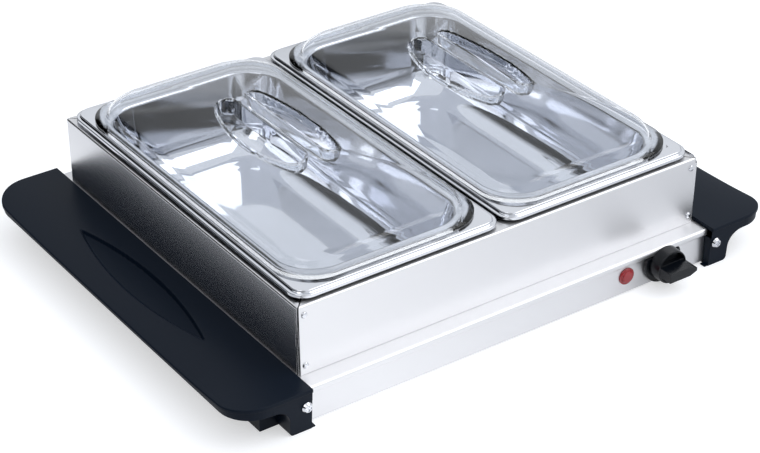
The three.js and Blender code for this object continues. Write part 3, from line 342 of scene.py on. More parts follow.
def combined(tree, operation, first, second):
    """Two (node, output) pairs joined by a sum, such as MAXIMUM."""
    return add(tree, "ShaderNodeMath", {"operation": operation}, {0: first, 1: second})


def speckle(tree, size_mm, settings):
    """Noise that is fixed to the object, its specks about size_mm across."""
    place = add(tree, "ShaderNodeTexCoord")
    return add(
        tree, "ShaderNodeTexNoise", {"Scale": 1 / (size_mm * MM), **settings},
        {"Vector": (place, "Object")},
    )


def roughness_from(tree, shader, pattern, low, high):
    spread = ramp(tree, (pattern, "Fac"), 0.0, 1.0, low, high)
    tree.links.new(spread.outputs[0], shader.inputs["Roughness"])


def bump_from(tree, shader, pattern, strength, height_mm):
    bump = add(
        tree, "ShaderNodeBump", {"Strength": strength, "Distance": height_mm * MM},
        {"Height": (pattern, "Fac")},
    )
    tree.links.new(bump.outputs[0], shader.inputs["Normal"])


def brushed_stainless(name, grain, low, high):
    """Type 304 stainless sheet with a linear brushed grain: bright, with fine streaks along grain."""
    settings = {"Metallic": 1.0, "Roughness": 0.3, "Anisotropic": 0.6, "Anisotropic Rotation": 0.25}
    material, tree, shader = surface(name, "#e0e0e2", settings)
    # reflections are drawn out across the grain
    direction = [1.0 if axis == grain else 0.0 for axis in "XYZ"]
    tangent = add(
        tree, "ShaderNodeVectorTransform",
        {"vector_type": "VECTOR", "convert_from": "OBJECT", "convert_to": "WORLD", 0: direction},
    )
    tree.links.new(tangent.outputs[0], shader.inputs["Tangent"])
    # real scratches are under 0.1 mm apart: drawn 0.9 mm apart and 60 mm long so that they show
    across, along = 1 / (0.9 * MM), 1 / (60 * MM)
    scale = [along if axis == grain else across for axis in "XYZ"]
    place = add(tree, "ShaderNodeTexCoord")
    stretch = add(tree, "ShaderNodeMapping", {"Scale": scale}, {"Vector": (place, "Object")})
    streaks = add(
        tree, "ShaderNodeTexNoise", {"Scale": 1.0, "Detail": 1.0}, {"Vector": (stretch, 0)},
    )
    roughness_from(tree, shader, streaks, low, high)
    return material


def polished_stainless(name):
    """Deep-drawn and polished stainless: nearly a mirror, with a faint cloudy unevenness."""
    material, tree, shader = surface(name, "#d8dadf", {"Metallic": 1.0, "Roughness": 0.1})
    clouds = speckle(tree, 18, {"Detail": 2.0})
    roughness_from(tree, shader, clouds, 0.04, 0.09)
    bump_from(tree, shader, clouds, 0.05, 0.15)
    return material


def zinc_plated(name):
    """Bright zinc-plated mild steel: greyer than stainless, with a soft mottled sheen."""
    material, tree, shader = surface(name, "#b6b8ba", {"Metallic": 1.0, "Roughness": 0.36})
    roughness_from(tree, shader, speckle(tree, 4, {"Detail": 3.0}), 0.28, 0.46)
    return material


def moulded_black(name, colour, low, high, specular):
    """Black PBT moulded in a spark-eroded tool: satin, with a fine even grain."""
    settings = {"Roughness": 0.4, "Specular IOR Level": specular}
    material, tree, shader = surface(name, colour, settings)
    # the real grain is about 0.1 mm: drawn at 0.5 mm so that it shows
    grain = speckle(tree, 0.5, {"Detail": 2.0, "Roughness": 0.6})
    roughness_from(tree, shader, grain, low, high)
    bump_from(tree, shader, grain, 0.18, 0.03)
    return material


def clear_polycarbonate(name):
    """Moulded clear polycarbonate: colourless to faintly blue, glossy, with slight flow waviness.

    Its index is well under the real 1.58. It was set for how dark the steep walls look."""
    settings = {
        "Roughness": 0.02, "IOR": 1.18, "Transmission Weight": 1.0,
        "Coat Weight": 0.6, "Coat IOR": 1.4, "Coat Roughness": 0.02,
    }
    material, tree, shader = surface(name, "#fafcff", settings)
    bump_from(tree, shader, speckle(tree, 30, {"Detail": 1.0}), 0.04, 0.4)
    return material


def lamp_red(name):
    """Translucent red polystyrene lamp lens: glossy, a little cloudy inside."""
    settings = {"Roughness": 0.18, "IOR": 1.55, "Transmission Weight": 0.25}
    material, tree, shader = surface(name, "#b2353b", settings)
    roughness_from(tree, shader, speckle(tree, 2, {"Detail": 1.0}), 0.14, 0.26)
    return material


def matt_board(name, light, dark, grain_mm, roughness):
    """Mica, fibre, ceramic or sleeving: matt, with a mottle of two close colours."""
    material, tree, shader = surface(name, light, {"Roughness": roughness})
    mottle = speckle(tree, grain_mm, {"Detail": 4.0})
    blend = add(
        tree, "ShaderNodeMix", {"data_type": "RGBA", 6: linear(light), 7: linear(dark)},
        {0: (mottle, "Fac")},
    )
    tree.links.new(blend.outputs[2], shader.inputs["Base Color"])
    bump_from(tree, shader, mottle, 0.3, 0.1)
    return material


steel_along = brushed_stainless("stainless_brushed_across", "X", 0.34, 0.38)
steel_deep = brushed_stainless("stainless_brushed_front_to_back", "Y", 0.25, 0.27)
steel_mirror = polished_stainless("stainless_polished")
zinc = zinc_plated("steel_zinc_plated")
black = moulded_black("pbt_moulded_black", "#0b1522", 0.34, 0.44, 0.11)
black_dial = moulded_black("pbt_moulded_black_dial", "#090d13", 0.2, 0.28, 0.32)
clear = clear_polycarbonate("polycarbonate_clear")
red = lamp_red("polystyrene_red_lens")
mica = matt_board("mica_board", "#9a8c6c", "#7d7054", 3.0, 0.7)
fibre = matt_board("ceramic_fibre_pad", "#d9d5c9", "#c4bfb1", 1.5, 0.95)
ceramic = matt_board("steatite_and_nylon_moulded", "#d8d3c6", "#cdc7b8", 2.0, 0.55)
sleeving = matt_board("silicone_sleeving", "#cfccc4", "#bdb9af", 1.0, 0.6)

# ---- lift-off frame: four folded panels riveted at the corners

FOLD_SEGMENTS = 4
CUT_EDGE = 0.15  # rounding of the frame's cut edges
PANEL_SHORT = 1.5  # the front and rear panels end this far from the side panels' outsides
FLANGE_REACH = SHEET + GAP + FRAME_FLANGE  # from the frame's outside to a flange's mitred end
CORNER_TAB = 12.0  # the side panels' tabs, which take the rivets
TAB_DROP = 2.2  # from the frame's top down to a tab
FRAME_INSIDE = (0, 0, 50)  # any point inside, to tell a panel's outside by


def end_panel(name, node, end):
    bm = bmesh.new()
    half_x, flange_y = FRAME_HALF_X - PANEL_SHORT, FRAME_HALF_Y - FRAME_FLANGE
    folds = folded(
        bm,
        [(end * flange_y, FRAME_TOP), (end * FRAME_HALF_Y, FRAME_TOP), (end * FRAME_HALF_Y, FRAME_FOOT)],
        across_x, (-half_x, half_x),
    )
    for v in bm.verts:
        if abs(v.co.y) < FRAME_HALF_Y - 1:  # the flange's inner edge, mitred
            v.co.x = math.copysign(FRAME_HALF_X - FLANGE_REACH, v.co.x)
    bevelled(bm, folds, FRAME_BEND, FOLD_SEGMENTS, "EDGES")
    aim(bm, FRAME_INSIDE)
    piece(name, bm, [node], steel_along, wall=SHEET, edge=CUT_EDGE)


def side_panel(name, node, side):
    bm = bmesh.new()
    wall_x, inner = side * FRAME_HALF_X, FRAME_HALF_Y - SHEET - GAP
    low, high = FRAME_FOOT, FRAME_TOP
    corner = {
        (sy, z): bm.verts.new((wall_x, sy * inner, z)) for sy in (-1, 1) for z in (low, high)
    }
    bm.faces.new([corner[-1, low], corner[1, low], corner[1, high], corner[-1, high]])
    flange_x = side * (FRAME_HALF_X - FRAME_FLANGE)
    reach = FRAME_HALF_Y - FLANGE_REACH
    near = [bm.verts.new((flange_x, sy * reach, high)) for sy in (-1, 1)]
    bm.faces.new([corner[-1, high], corner[1, high], near[1], near[0]])
    tab_x = side * (FRAME_HALF_X - CORNER_TAB)
    for sy in (-1, 1):
        tips = [bm.verts.new((tab_x, sy * inner, z)) for z in (low, high - TAB_DROP)]
        bm.faces.new([corner[sy, low], tips[0], tips[1], corner[sy, high]])
    folds = [e for e in bm.edges if len(e.link_faces) == 2]
    bevelled(bm, folds, FRAME_BEND, FOLD_SEGMENTS, "EDGES")
    aim(bm, FRAME_INSIDE)
    piece(name, bm, [node], steel_deep, wall=SHEET, edge=CUT_EDGE)


def cross_bar():
    bm = bmesh.new()
    half_width, depth, half_length = 12, 9, 156.1
    top = FRAME_TOP - SHEET - GAP
    folds = folded(
        bm,
        [(-half_width, top - depth), (-half_width, top), (half_width, top), (half_width, top - depth)],
        across_y, (-half_length, half_length),
    )
    bevelled(bm, folds, FRAME_BEND, FOLD_SEGMENTS, "EDGES")
    aim(bm)
    piece("pan_divider", bm, ["frame_cross_bar"], steel_deep, wall=SHEET, edge=CUT_EDGE)


RIVET_X = FRAME_HALF_X - 5.5
RIVET_HEIGHTS = (("low", 7.2), ("high", 46.3))  # above the warming plate
RIVET_HEAD_RADIUS, RIVET_HEAD_HEIGHT = 2.38, 1.2
RIVET_SHANK = [(1.5, 0), (1.5, -2.0), (2.2, -2.1), (2.2, -2.7), (0, -2.7)]  # upset behind the sheets


def rivet(name, node, at, out):
    bm = bmesh.new()
    lathe(bm, dome(RIVET_HEAD_RADIUS, RIVET_HEAD_HEIGHT, 6) + RIVET_SHANK, at, out, 24)
    piece(name, bm, [node], steel_mirror)


end_panel("front_panel", "frame_front", -1)
end_panel("rear_panel", "frame_rear", 1)
side_panel("left_panel", "frame_left", -1)
side_panel("right_panel", "frame_right", 1)
cross_bar()
for end_name, end in (("front", -1), ("rear", 1)):
    for side_name, side in (("left", -1), ("right", 1)):
        for level, height in RIVET_HEIGHTS:
            which = f"rivet_{end_name}_{side_name}_{level}"
            place = (side * RIVET_X, end * (FRAME_HALF_Y + GAP), PLATE_TOP + height)
            rivet(f"pop_{which}", which, place, (0, end, 0))

# ---- heated base

BASE_CUT_EDGE = 0.12  # rounding of the base's cut edges
LIP_SEGMENTS = 6


def warming_plate():
    bm = bmesh.new()
    hem, rim = APRON_FACE + 0.3, PLATE_HALF_Y  # the lip turns under, back to just short of the apron
    folds = folded(
        bm,
        [(-hem, LIP_BOTTOM), (-rim, LIP_BOTTOM), (-rim, PLATE_TOP), (rim, PLATE_TOP), (rim, LIP_BOTTOM),
         (hem, LIP_BOTTOM)],
        across_x, (-PLATE_HALF_X, PLATE_HALF_X),
    )
    bevelled(bm, folds, LIP_BEND, LIP_SEGMENTS, "EDGES")
    aim(bm, (0, 0, (LIP_BOTTOM + PLATE_TOP) / 2))
    piece("heated_top", bm, ["warming_plate"], steel_along, wall=SHEET, edge=BASE_CUT_EDGE)


def apron(name, node, end):
    bm = bmesh.new()
    top_flange, foot_flange, bend = 9, 14, 1.4
    folds = folded(
        bm,
        [(end * (APRON_FACE - top_flange), APRON_TOP), (end * APRON_FACE, APRON_TOP),
         (end * APRON_FACE, APRON_FOOT), (end * (APRON_FACE - foot_flange), APRON_FOOT)],
        across_x, (-PLATE_HALF_X, PLATE_HALF_X),
    )
    bevelled(bm, folds, bend, FOLD_SEGMENTS, "EDGES")
    aim(bm, (0, 0, (APRON_FOOT + APRON_TOP) / 2))
    piece(name, bm, [node], steel_along, wall=SHEET, edge=BASE_CUT_EDGE)


warming_plate()
apron("front_skirting", "front_apron", -1)
apron("rear_skirting", "rear_apron", 1)
from_node("underside_cover", "bottom_cover", zinc)

# ---- control dial, its bezel, the pilot lamp and the cord's bushing

# turned profiles are (radius, height over the seat)
SEAT = APRON_FACE + GAP
FORWARDS, BACKWARDS = (0, -1, 0), (0, 1, 0)
DIAL_BACK = 172.2
DIAL_FRONT = 181.9
DIAL_GRIP = 193.4
DIAL_RADIUS, DIAL_WELL_RADIUS, DIAL_WELL = 13.3, 11.35, 4.5
BEZEL_FACE, BEZEL_CLEARANCE = 2.9, 0.3
BEZEL_PROFILE = [
    (6, 0), (6, BEZEL_FACE), (15.7, BEZEL_FACE), (16.2, BEZEL_FACE - 0.25), (16.4, BEZEL_FACE - 0.7),
    (16.4, 0), (6, 0),
]
LENS_CROWN_RADIUS, LENS_CROWN_FOOT, LENS_CROWN_HEIGHT = 4.6, 2.2, 0.7
LENS_RIM = [(4.75, 1.3), (5.2, 1.0), (6.2, 1.0), (6.5, 0.7), (6.5, 0), (5, 0), (5, -4), (0, -4)]
BUSHING_PROFILE = [
    (3.8, -3), (3.8, 2.6), (4.3, 3.0), (10.2, 3.0), (10.8, 2.6), (11, 2.0), (11, 0),
    (7.6, 0), (7.6, -1), (9, -1), (9, -3.4), (3.8, -3.4), (3.8, -3),
]


def dial_bezel():
    bm = bmesh.new()
    lathe(bm, BEZEL_PROFILE, (KNOB_X, -SEAT, KNOB_Z), FORWARDS, 96)
    # its top is cut off flat under the warming plate's lip
    cut = bmesh.ops.bisect_plane(
        bm, geom=bm.verts[:] + bm.edges[:] + bm.faces[:],
        plane_co=(0, 0, LIP_BOTTOM - BEZEL_CLEARANCE), plane_no=(0, 0, 1), clear_outer=True,
    )
    bmesh.ops.holes_fill(bm, edges=edges_in(cut["geom_cut"]), sides=0)
    piece("dial_bezel", bm, ["knob_bezel"], black_dial, edge=0.15)


def dial():
    bm = bmesh.new()
    rim = DIAL_FRONT - DIAL_BACK
    profile = [
        (0, 0), (12.9, 0), (DIAL_RADIUS, 0.4), (12.8, rim - 0.9), (12.65, rim - 0.35), (12.2, rim),
        (11.7, rim), (DIAL_WELL_RADIUS, rim - 0.3), (11.3, rim - DIAL_WELL), (0, rim - DIAL_WELL),
    ]
    lathe(bm, profile, (KNOB_X, -DIAL_BACK, KNOB_Z), FORWARDS, 96)

    def bar(points, start, end):
        """A bar between two depths behind the dial's rim; a depth below 0 is in front of it."""
        outline = [(KNOB_X + u, KNOB_Z + v) for u, v in points]
        prism(bm, outline, across_y, (start - DIAL_FRONT, end - DIAL_FRONT))

    # the grip's bar, pointed at one end, and its root down in the well
    half, tip = 3.7, 1.3
    tail, taper, point = -12, 7, 13.1
    grip = [(tail, -half), (taper, -half), (point, -tip), (point, tip), (taper, half), (tail, half)]
    bar(grip, 0.8, DIAL_FRONT - DIAL_GRIP)
    reach = DIAL_WELL_RADIUS
    root = [(-reach, -half), (reach, -half), (reach, half), (-reach, half)]
    bar(root, DIAL_WELL + 0.1, 0.7)
    piece("dial", bm, ["control_knob"], black_dial, edge=0.5, segments=3)


def pilot_lamp():
    bm = bmesh.new()
    crown = [(r, LENS_CROWN_FOOT + h) for r, h in dome(LENS_CROWN_RADIUS, LENS_CROWN_HEIGHT, 8)]
    lathe(bm, crown + LENS_RIM, (LAMP_X, -SEAT, LAMP_Z), FORWARDS, 64)
    piece("pilot_lamp", bm, ["lamp_lens"], red)


def cord_bushing():
    bm = bmesh.new()
    lathe(bm, BUSHING_PROFILE, (INLET_X, SEAT, INLET_Z), BACKWARDS, 64)
    piece("cord_bushing", bm, ["cord_inlet"], black)


dial_bezel()
dial()
pilot_lamp()
cord_bushing()

# ---- food pans: a bowl, a flat rim, a step down and a turned edge


def food_pan(name, node, side):
    bm = bmesh.new()
    side_gap, middle_gap = 2.7, 1.2  # to the frame's outside, and to the line between the pans
    half_x, half_y, corner = (FRAME_HALF_X - side_gap - middle_gap) / 2, FRAME_HALF_Y - side_gap, 13.0
    step_out, step_down, edge_drop, soft, step_root = 2.8, 1.9, 4.2, 0.8, 0.4
    rim_beside, rim_ends = 12, 17
    open_x, open_y, open_radius = half_x - step_out - rim_beside, half_y - step_out - rim_ends, 28.0
    floor = FRAME_FOOT + SHEET
    fillet, draft, bend, tighten = 22.0, 8.0, 2.2, 0.5

    def bowl(spread, z):
        return (open_x + spread, open_y + spread, open_radius + spread * tighten, z)

    def rim(inset, z):
        return (half_x - inset, half_y - inset, corner - inset, z)

    rings = [
        bowl(-draft - fillet + fillet * s, floor + fillet - fillet * c) for s, c in quarter_turn(12)
    ]
    rings += [bowl(bend - bend * c, RIM_TOP - bend + bend * s) for s, c in quarter_turn(5)]
    rings += [
        rim(step_out + soft * (1 - s), RIM_TOP - soft * (1 - c)) for s, c in quarter_turn(3)
    ]
    rings.append(rim(step_out, RIM_TOP - step_down + step_root))
    rings.append(rim(step_out - step_root, RIM_TOP - step_down))
    rings += [
        rim(soft * (1 - s), RIM_TOP - step_down - soft * (1 - c)) for s, c in quarter_turn(3)
    ]
    rings.append(rim(0, RIM_TOP - edge_drop))
    loops = loft(bm, rings, 12, side * PAN_MIDDLE)
    bmesh.ops.contextual_create(bm, geom=loops[0])
    aim(bm)
    piece(name, bm, [node], steel_mirror, wall=SHEET, edge=0.12, edge_angle=60)


food_pan("food_pan_left", "pan_left", -1)
food_pan("food_pan_right", "pan_right", 1)

# ---- clear lids: a flange, a short wall, a crowned dome and finger pockets beside a grip bar

# the flange, then the wall and the small curve at its root
LID_HALF_X, LID_HALF_Y, LID_RADIUS = 78.5, 147.5, 31.0
WALL_INSET, WALL_LEAN, WALL_HEIGHT, WALL_RADIUS = 5.5, 1.6, 6.4, 29.0
WALL_ROOT_OUT, WALL_ROOT_IN, WALL_ROOT_RISE = 0.6, 0.2, 0.7
# the bend over the wall: its radius, how far it turns in radians, and the corners' radius after it
SHOULDER, SHOULDER_TURN, SHOULDER_RADIUS, SHOULDER_STEPS = 6.5, 1.22, 36.0, 8
# the dome: its height, its ridge's length, and the shape of its rings on the way up
CROWN, CROWN_RIDGE, CROWN_POWER, CROWN_ROUND, CROWN_TIP = 34.0, 80.0, 1.25, 0.95, 0.045
CROWN_RINGS, CROWN_RING_STEP = 9, 0.06
CAP_PITCH_X, CAP_PITCH_Y, CAP_MARGIN = 1.0, 1.6, 0.4  # the grid that carries the pockets
ON_LINE = 0.01  # a point this near an outline is on it
GRIP_LENGTH, GRIP_WIDTH, GRIP_CORNER, GRIP_BAR, GRIP_DEPTH = 104.0, 20.0, 6.0, 15.0, 12.0
GRIP_EDGE = 1.1  # half the width over which a pocket's wall falls


def lid_line(inset, radius, z):
    return (LID_HALF_X - inset, LID_HALF_Y - inset, radius, z)


def shoulder_line(share):
    """The shoulder's outline, from the wall's top at 0 to the dome's foot at 1."""
    angle = SHOULDER_TURN * share
    return lid_line(
        WALL_INSET + WALL_LEAN + SHOULDER * (1 - math.cos(angle)),
        WALL_RADIUS + (SHOULDER_RADIUS - WALL_RADIUS) * share,
        LID_FOOT + WALL_HEIGHT + SHOULDER * math.sin(angle),
    )


def crown_ring(rest):
    """The dome's outline where rest of its half width is left, from 1 at its foot to 0 at the ridge."""
    foot_x, foot_y, foot_radius, foot_z = shoulder_line(1)
    ridge = CROWN_RIDGE / 2
    roundness = CROWN_ROUND + (foot_radius / foot_x - CROWN_ROUND) * rest
    rise = LID_FOOT + CROWN - foot_z
    return (
        foot_x * rest, ridge + (foot_y - ridge) * rest, foot_x * rest * roundness,
        foot_z + rise * (1 - rest ** CROWN_POWER),
    )


def outside_of(ring, x, y):
    """Distance from a point to a rounded rectangle's line, negative inside."""
    half_x, half_y, radius, _ = ring
    dx, dy = abs(x) - (half_x - radius), abs(y) - (half_y - radius)
    return math.hypot(max(dx, 0), max(dy, 0)) + min(max(dx, dy), 0) - radius


def crown_height(x, y):
    """The dome's height at a point, from the ring that passes through it, found by halving."""
    low, high = 0.0, 1.0
    for _ in range(22):
        middle = (low + high) / 2
        if outside_of(crown_ring(middle), x, y) > 0:
            low = middle
        else:
            high = middle
    return crown_ring(max(high, CROWN_TIP))[3]


def pocket_distance(x, y):
    """Distance to the nearer pocket's outline, negative inside: an arc, and a straight side at the bar."""
    x, y = abs(x), abs(y)
    start = GRIP_BAR / 2 + GRIP_CORNER
    chord = GRIP_LENGTH / 2 - GRIP_CORNER
    bulge = GRIP_WIDTH - 2 * GRIP_CORNER
    arc = (chord * chord + bulge * bulge) / (2 * bulge)
    centre = start + bulge - arc
    from_arc = math.hypot(x - centre, y) - arc
    from_side = start - x
    if from_arc <= 0 and from_side <= 0:
        distance = max(from_arc, from_side)
    elif from_side > 0 and y <= chord:
        distance = from_side
    elif y * (start - centre) <= chord * (x - centre):
        distance = from_arc
    else:
        distance = math.hypot(x - start, y - chord)
    return distance - GRIP_CORNER


def smooth_step(value):
    value = min(max(value, 0.0), 1.0)
    return value * value * (3 - 2 * value)


def lid_height(x, y):
    """The cap's height: the crown, and in a pocket its flat floor."""
    crown_z = crown_height(x, y)
    floor_z = LID_FOOT + CROWN - GRIP_DEPTH
    return crown_z + (floor_z - crown_z) * smooth_step(0.5 - pocket_distance(x, y) / (2 * GRIP_EDGE))


def cut_by_planes(bm, faces, axis, places):
    """Scores faces along planes square to an axis, so that they can take a curve."""
    normal = [0, 0, 0]
    normal[axis] = 1
    geom = list({g for f in faces for g in (f, *f.edges, *f.verts)})
    for place in places:
        point = [0, 0, 0]
        point[axis] = place
        made = bmesh.ops.bisect_plane(bm, geom=geom, dist=MERGE, plane_co=point, plane_no=normal)
        geom = list(set(made["geom"]) | set(made["geom_cut"]))


def steps_between(low, high, pitch):
    count = max(round((high - low) / pitch), 1)
    return [low + (high - low) * i / count for i in range(1, count)]


def clear_lid(name, node, side):
    bm = bmesh.new()
    top = LID_FOOT + LID_THICKNESS
    rings = [
        lid_line(0, LID_RADIUS, top),
        lid_line(WALL_INSET - WALL_ROOT_OUT, WALL_RADIUS + WALL_ROOT_OUT, top),
        lid_line(WALL_INSET + WALL_ROOT_IN, WALL_RADIUS, top + WALL_ROOT_RISE),
    ]
    for share in (0.5, 1):
        rings.append(lid_line(WALL_INSET + WALL_LEAN * share, WALL_RADIUS, LID_FOOT + WALL_HEIGHT * share))
    rings += [shoulder_line(i / SHOULDER_STEPS) for i in range(1, SHOULDER_STEPS + 1)]
    rings += [crown_ring(1 - CROWN_RING_STEP * i) for i in range(1, CROWN_RINGS + 1)]
    middle = side * PAN_MIDDLE
    loops = loft(bm, rings, 14, middle)
    cap = bmesh.ops.contextual_create(bm, geom=loops[-1])["faces"]
    cap_line = rings[-1]

    def off_cap(v):
        return outside_of(cap_line, v.co.x - middle, v.co.y)

    reach_x, reach_y = cap_line[0] + CAP_MARGIN, cap_line[1] + CAP_MARGIN
    columns = [middle + x for x in steps_between(-reach_x, reach_x, CAP_PITCH_X)]
    cut_by_planes(bm, cap, 0, columns)
    strips = [f for f in bm.faces if f.normal.length and all(off_cap(v) < ON_LINE for v in f.verts)]
    cut_by_planes(bm, strips, 1, steps_between(-reach_y, reach_y, CAP_PITCH_Y))
    for v in bm.verts:
        if off_cap(v) < -ON_LINE:
            v.co.z = lid_height(v.co.x - middle, v.co.y)
    aim(bm)
    piece(name, bm, [node], clear, wall=LID_THICKNESS, sharp=60)


clear_lid("clear_lid_left", "lid_left", -1)
clear_lid("clear_lid_right", "lid_right", 1)

# ---- side handles

HANDLE_WALL = 2.5
CROWN_START = FRAME_HALF_X + 15  # the top is level up to here, and falls away outside
CROWN_DROP, CROWN_END_POWER = 5.1, 5
RECESS_MIDDLE = FRAME_HALF_X + 29.5
RECESS_LENGTH, RECESS_WIDTH, RECESS_EDGE = 173.0, 23.5, 0.9
RECESS_INNER_DEPTH, RECESS_OUTER_DEPTH = 3.2, 2.3
RECESS_BESIDE, RECESS_BEYOND = 14, 3  # the fine grid: half its width, and its reach past the recess
COARSE, OUTER_PITCH, FINE_X, FINE_Y = 4, 2, 0.6, 1.2  # the grid's steps
TOP_INSET = 1.0  # from the skirt to the flat top's outline
# the top's rounded edge in steps: each further out by the first, and as deep as the second
TOP_EDGE = ((0.4, 0.12), (0.3, 0.3), (0.22, 0.6), (0.08, 1.0), (0, 2.6))
SHADOW_STEP, SKIRT_DRAFT, CEILING_DEPTH = 0.9, 0.3, 4.5


def handle_surface(x, y):
    """The top's height, as if it had no recess."""
    across = max((x - CROWN_START) / (HANDLE_OUTER - CROWN_START), 0)
    along = max(1 - abs(y / HANDLE_END) ** CROWN_END_POWER, 0)
    return HANDLE_TOP - CROWN_DROP * across * across * along


def recess_distance(x, y):
    """Distance to the recess's outline, two arcs that meet in points; negative inside."""
    half_long, half_wide = RECESS_LENGTH / 2, RECESS_WIDTH / 2
    arc = (half_long ** 2 + half_wide ** 2) / RECESS_WIDTH
    return math.hypot(abs(x - RECESS_MIDDLE) + arc - half_wide, y) - arc


def handle_height(x, y):
    """The top's height with the recess, whose floor is deeper on the frame's side."""
    top = handle_surface(x, y)
    share = (x - RECESS_MIDDLE) / RECESS_WIDTH + 0.5
    floor = HANDLE_TOP - RECESS_INNER_DEPTH + (RECESS_INNER_DEPTH - RECESS_OUTER_DEPTH) * share
    return top + min(floor - top, 0) * smooth_step(0.5 - recess_distance(x, y) / RECESS_EDGE)


def handle_outward(point, inner_side):
    """The direction out of the handle's outline at a point on it, or on a line inside it."""
    end = 1 if point.y > 0 else -1
    radius = HANDLE_RADII[end]
    near_side = radius * 0.8  # past this, a point belongs to the straight side
    centre = Vector((HANDLE_OUTER - radius, end * (HANDLE_END - radius)))
    from_centre = Vector((point.x, point.y)) - centre
    if from_centre.x > 0 and from_centre.y * end > 0:
        return from_centre.normalized()
    if from_centre.x > near_side:
        return Vector((1, 0))
    out = Vector((0, 0))
    if from_centre.y * end > near_side:
        out.y = end
    if inner_side and point.x < HANDLE_INNER + 1:
        out.x = -1
    return out


def handle_step(bm, edges, spread, height, inner_side=False):
    """Draws the edge loop out by one step of the moulding's profile; spread is outwards."""
    made = bmesh.ops.extrude_edge_only(bm, edges=edges)["geom"]
    for v in verts_in(made):
        out = handle_outward(v.co, inner_side) * spread
        v.co.x += out.x
        v.co.y += out.y
        v.co.z = height(v.co.x, v.co.y)
    return edges_in(made)


def handle_plate(bm):
    """The top with its recess, the rounded edge, the skirt, and the hollow underneath."""
    outer, end = HANDLE_OUTER - TOP_INSET, HANDLE_END - TOP_INSET
    points = [(outer, end), (HANDLE_INNER, end), (HANDLE_INNER, -end), (outer, -end)]
    corners = [bm.verts.new((x, y, HANDLE_TOP)) for x, y in points]
    bm.faces.new(corners)
    for corner, which in ((corners[0], 1), (corners[3], -1)):
        bevelled(bm, [corner], HANDLE_RADII[which] - TOP_INSET, 14)
    near, far = RECESS_MIDDLE - RECESS_BESIDE, RECESS_MIDDLE + RECESS_BESIDE
    columns = steps_between(HANDLE_INNER, near, COARSE) + steps_between(near, far, FINE_X) + [near, far]
    cut_by_planes(bm, bm.faces[:], 0, columns + steps_between(far, outer, OUTER_PITCH))
    half = RECESS_LENGTH / 2 + RECESS_BEYOND
    rows = steps_between(-end, -half, COARSE) + steps_between(-half, half, FINE_Y)
    cut_by_planes(bm, bm.faces[:], 1, rows + steps_between(half, end, COARSE) + [-half, half])
    edges = [e for e in bm.edges if len(e.link_faces) == 1]
    for v in bm.verts:
        v.co.z = handle_height(v.co.x, v.co.y)

    def below(depth):
        return lambda x, y: handle_surface(x, y) - depth

    def skirt_foot(x, y):
        return SKIRT_BOTTOM

    for spread, depth in TOP_EDGE:
        edges = handle_step(bm, edges, spread, below(depth))
    edges = handle_step(bm, edges, -SHADOW_STEP, below(TOP_EDGE[-1][1]))
    edges = handle_step(bm, edges, -SKIRT_DRAFT, skirt_foot)
    edges = handle_step(bm, edges, -HANDLE_WALL, skirt_foot, True)
    edges = handle_step(bm, edges, 0, below(CEILING_DEPTH))
    bmesh.ops.contextual_create(bm, geom=edges)


def handle_leg(bm, end):
    """A bracket leg: its face with a gusset, a hollow block behind it, and a small toe inside."""
    face, depth, draft = HANDLE_END - 1, 18.1, 2.0
    width, corner, gusset = 17.0, 3.0, 12.0
    block_width, block_depth = 30.1, 33
    toe_in, toe_out, toe_near, toe_far, toe_height = 3, 5, 169.3, 174.2, 1.0
    leg_side = HANDLE_INNER + width
    gusset_side = leg_side + gusset + 1
    points = [
        (HANDLE_INNER, 0), (leg_side, 0), (leg_side, SKIRT_BOTTOM), (gusset_side, SKIRT_BOTTOM),
        (gusset_side, LEG_TOP), (HANDLE_INNER, LEG_TOP),
    ]
    verts = [bm.verts.new((x, end * face, z)) for x, z in points]
    known = set(bm.faces)
    bm.faces.new(verts)
    bevelled(bm, [verts[1]], corner, 6)
    bevelled(bm, [verts[2]], gusset, 12)
    front = next(f for f in bm.faces if f not in known)
    rear = verts_in(bmesh.ops.extrude_face_region(bm, geom=[front], use_keep_orig=True)["geom"])
    bmesh.ops.translate(bm, verts=rear, vec=(0, -end * depth, 0))
    for v in front.verts:
        v.co.y -= end * draft * max(1 - v.co.z / SKIRT_BOTTOM, 0)
    back = face - depth
    block_y = sorted((end * back, end * (back - block_depth)))
    made = box(bm, (HANDLE_INNER, HANDLE_INNER + block_width), block_y, (0, LEG_TOP))
    floor = [f for f in {f for v in made for f in v.link_faces} if all(v.co.z < 0.01 for v in f.verts)]
    bmesh.ops.inset_region(bm, faces=floor, thickness=HANDLE_WALL)
    hollow = bmesh.ops.extrude_face_region(bm, geom=floor)["geom"]
    bmesh.ops.delete(bm, geom=floor, context="FACES")
    bmesh.ops.translate(bm, verts=verts_in(hollow), vec=(0, 0, LEG_TOP - HANDLE_WALL))
    toe_y = sorted((end * toe_near, end * toe_far))
    box(bm, (HANDLE_INNER - toe_in, HANDLE_INNER + toe_out), toe_y, (0, toe_height))


def side_handle(name, node, side):
    bm = bmesh.new()
    wall_half_length, wall_foot = 159, 1.2  # the inner wall, between the legs
    handle_plate(bm)
    handle_leg(bm, -1)
    handle_leg(bm, 1)
    box(
        bm, (HANDLE_INNER, HANDLE_INNER + HANDLE_WALL), (-wall_half_length, wall_half_length),
        (wall_foot, LEG_TOP),
    )
    bmesh.ops.scale(bm, vec=(side, 1, 1), verts=bm.verts)
    piece(name, bm, [node], black, edge=0.35, edge_angle=50, sharp=40)


side_handle("side_handle_left", "handle_left", -1)
side_handle("side_handle_right", "handle_right", 1)

for end_name in ("front", "rear"):
    for side_name in ("left", "right"):
        node = f"handle_screw_{end_name}_{side_name}"
        from_node(f"cross_head_screw_{end_name}_{side_name}", node, steel_mirror)

# ---- carried-over CAD nodes: the pieces inside the base

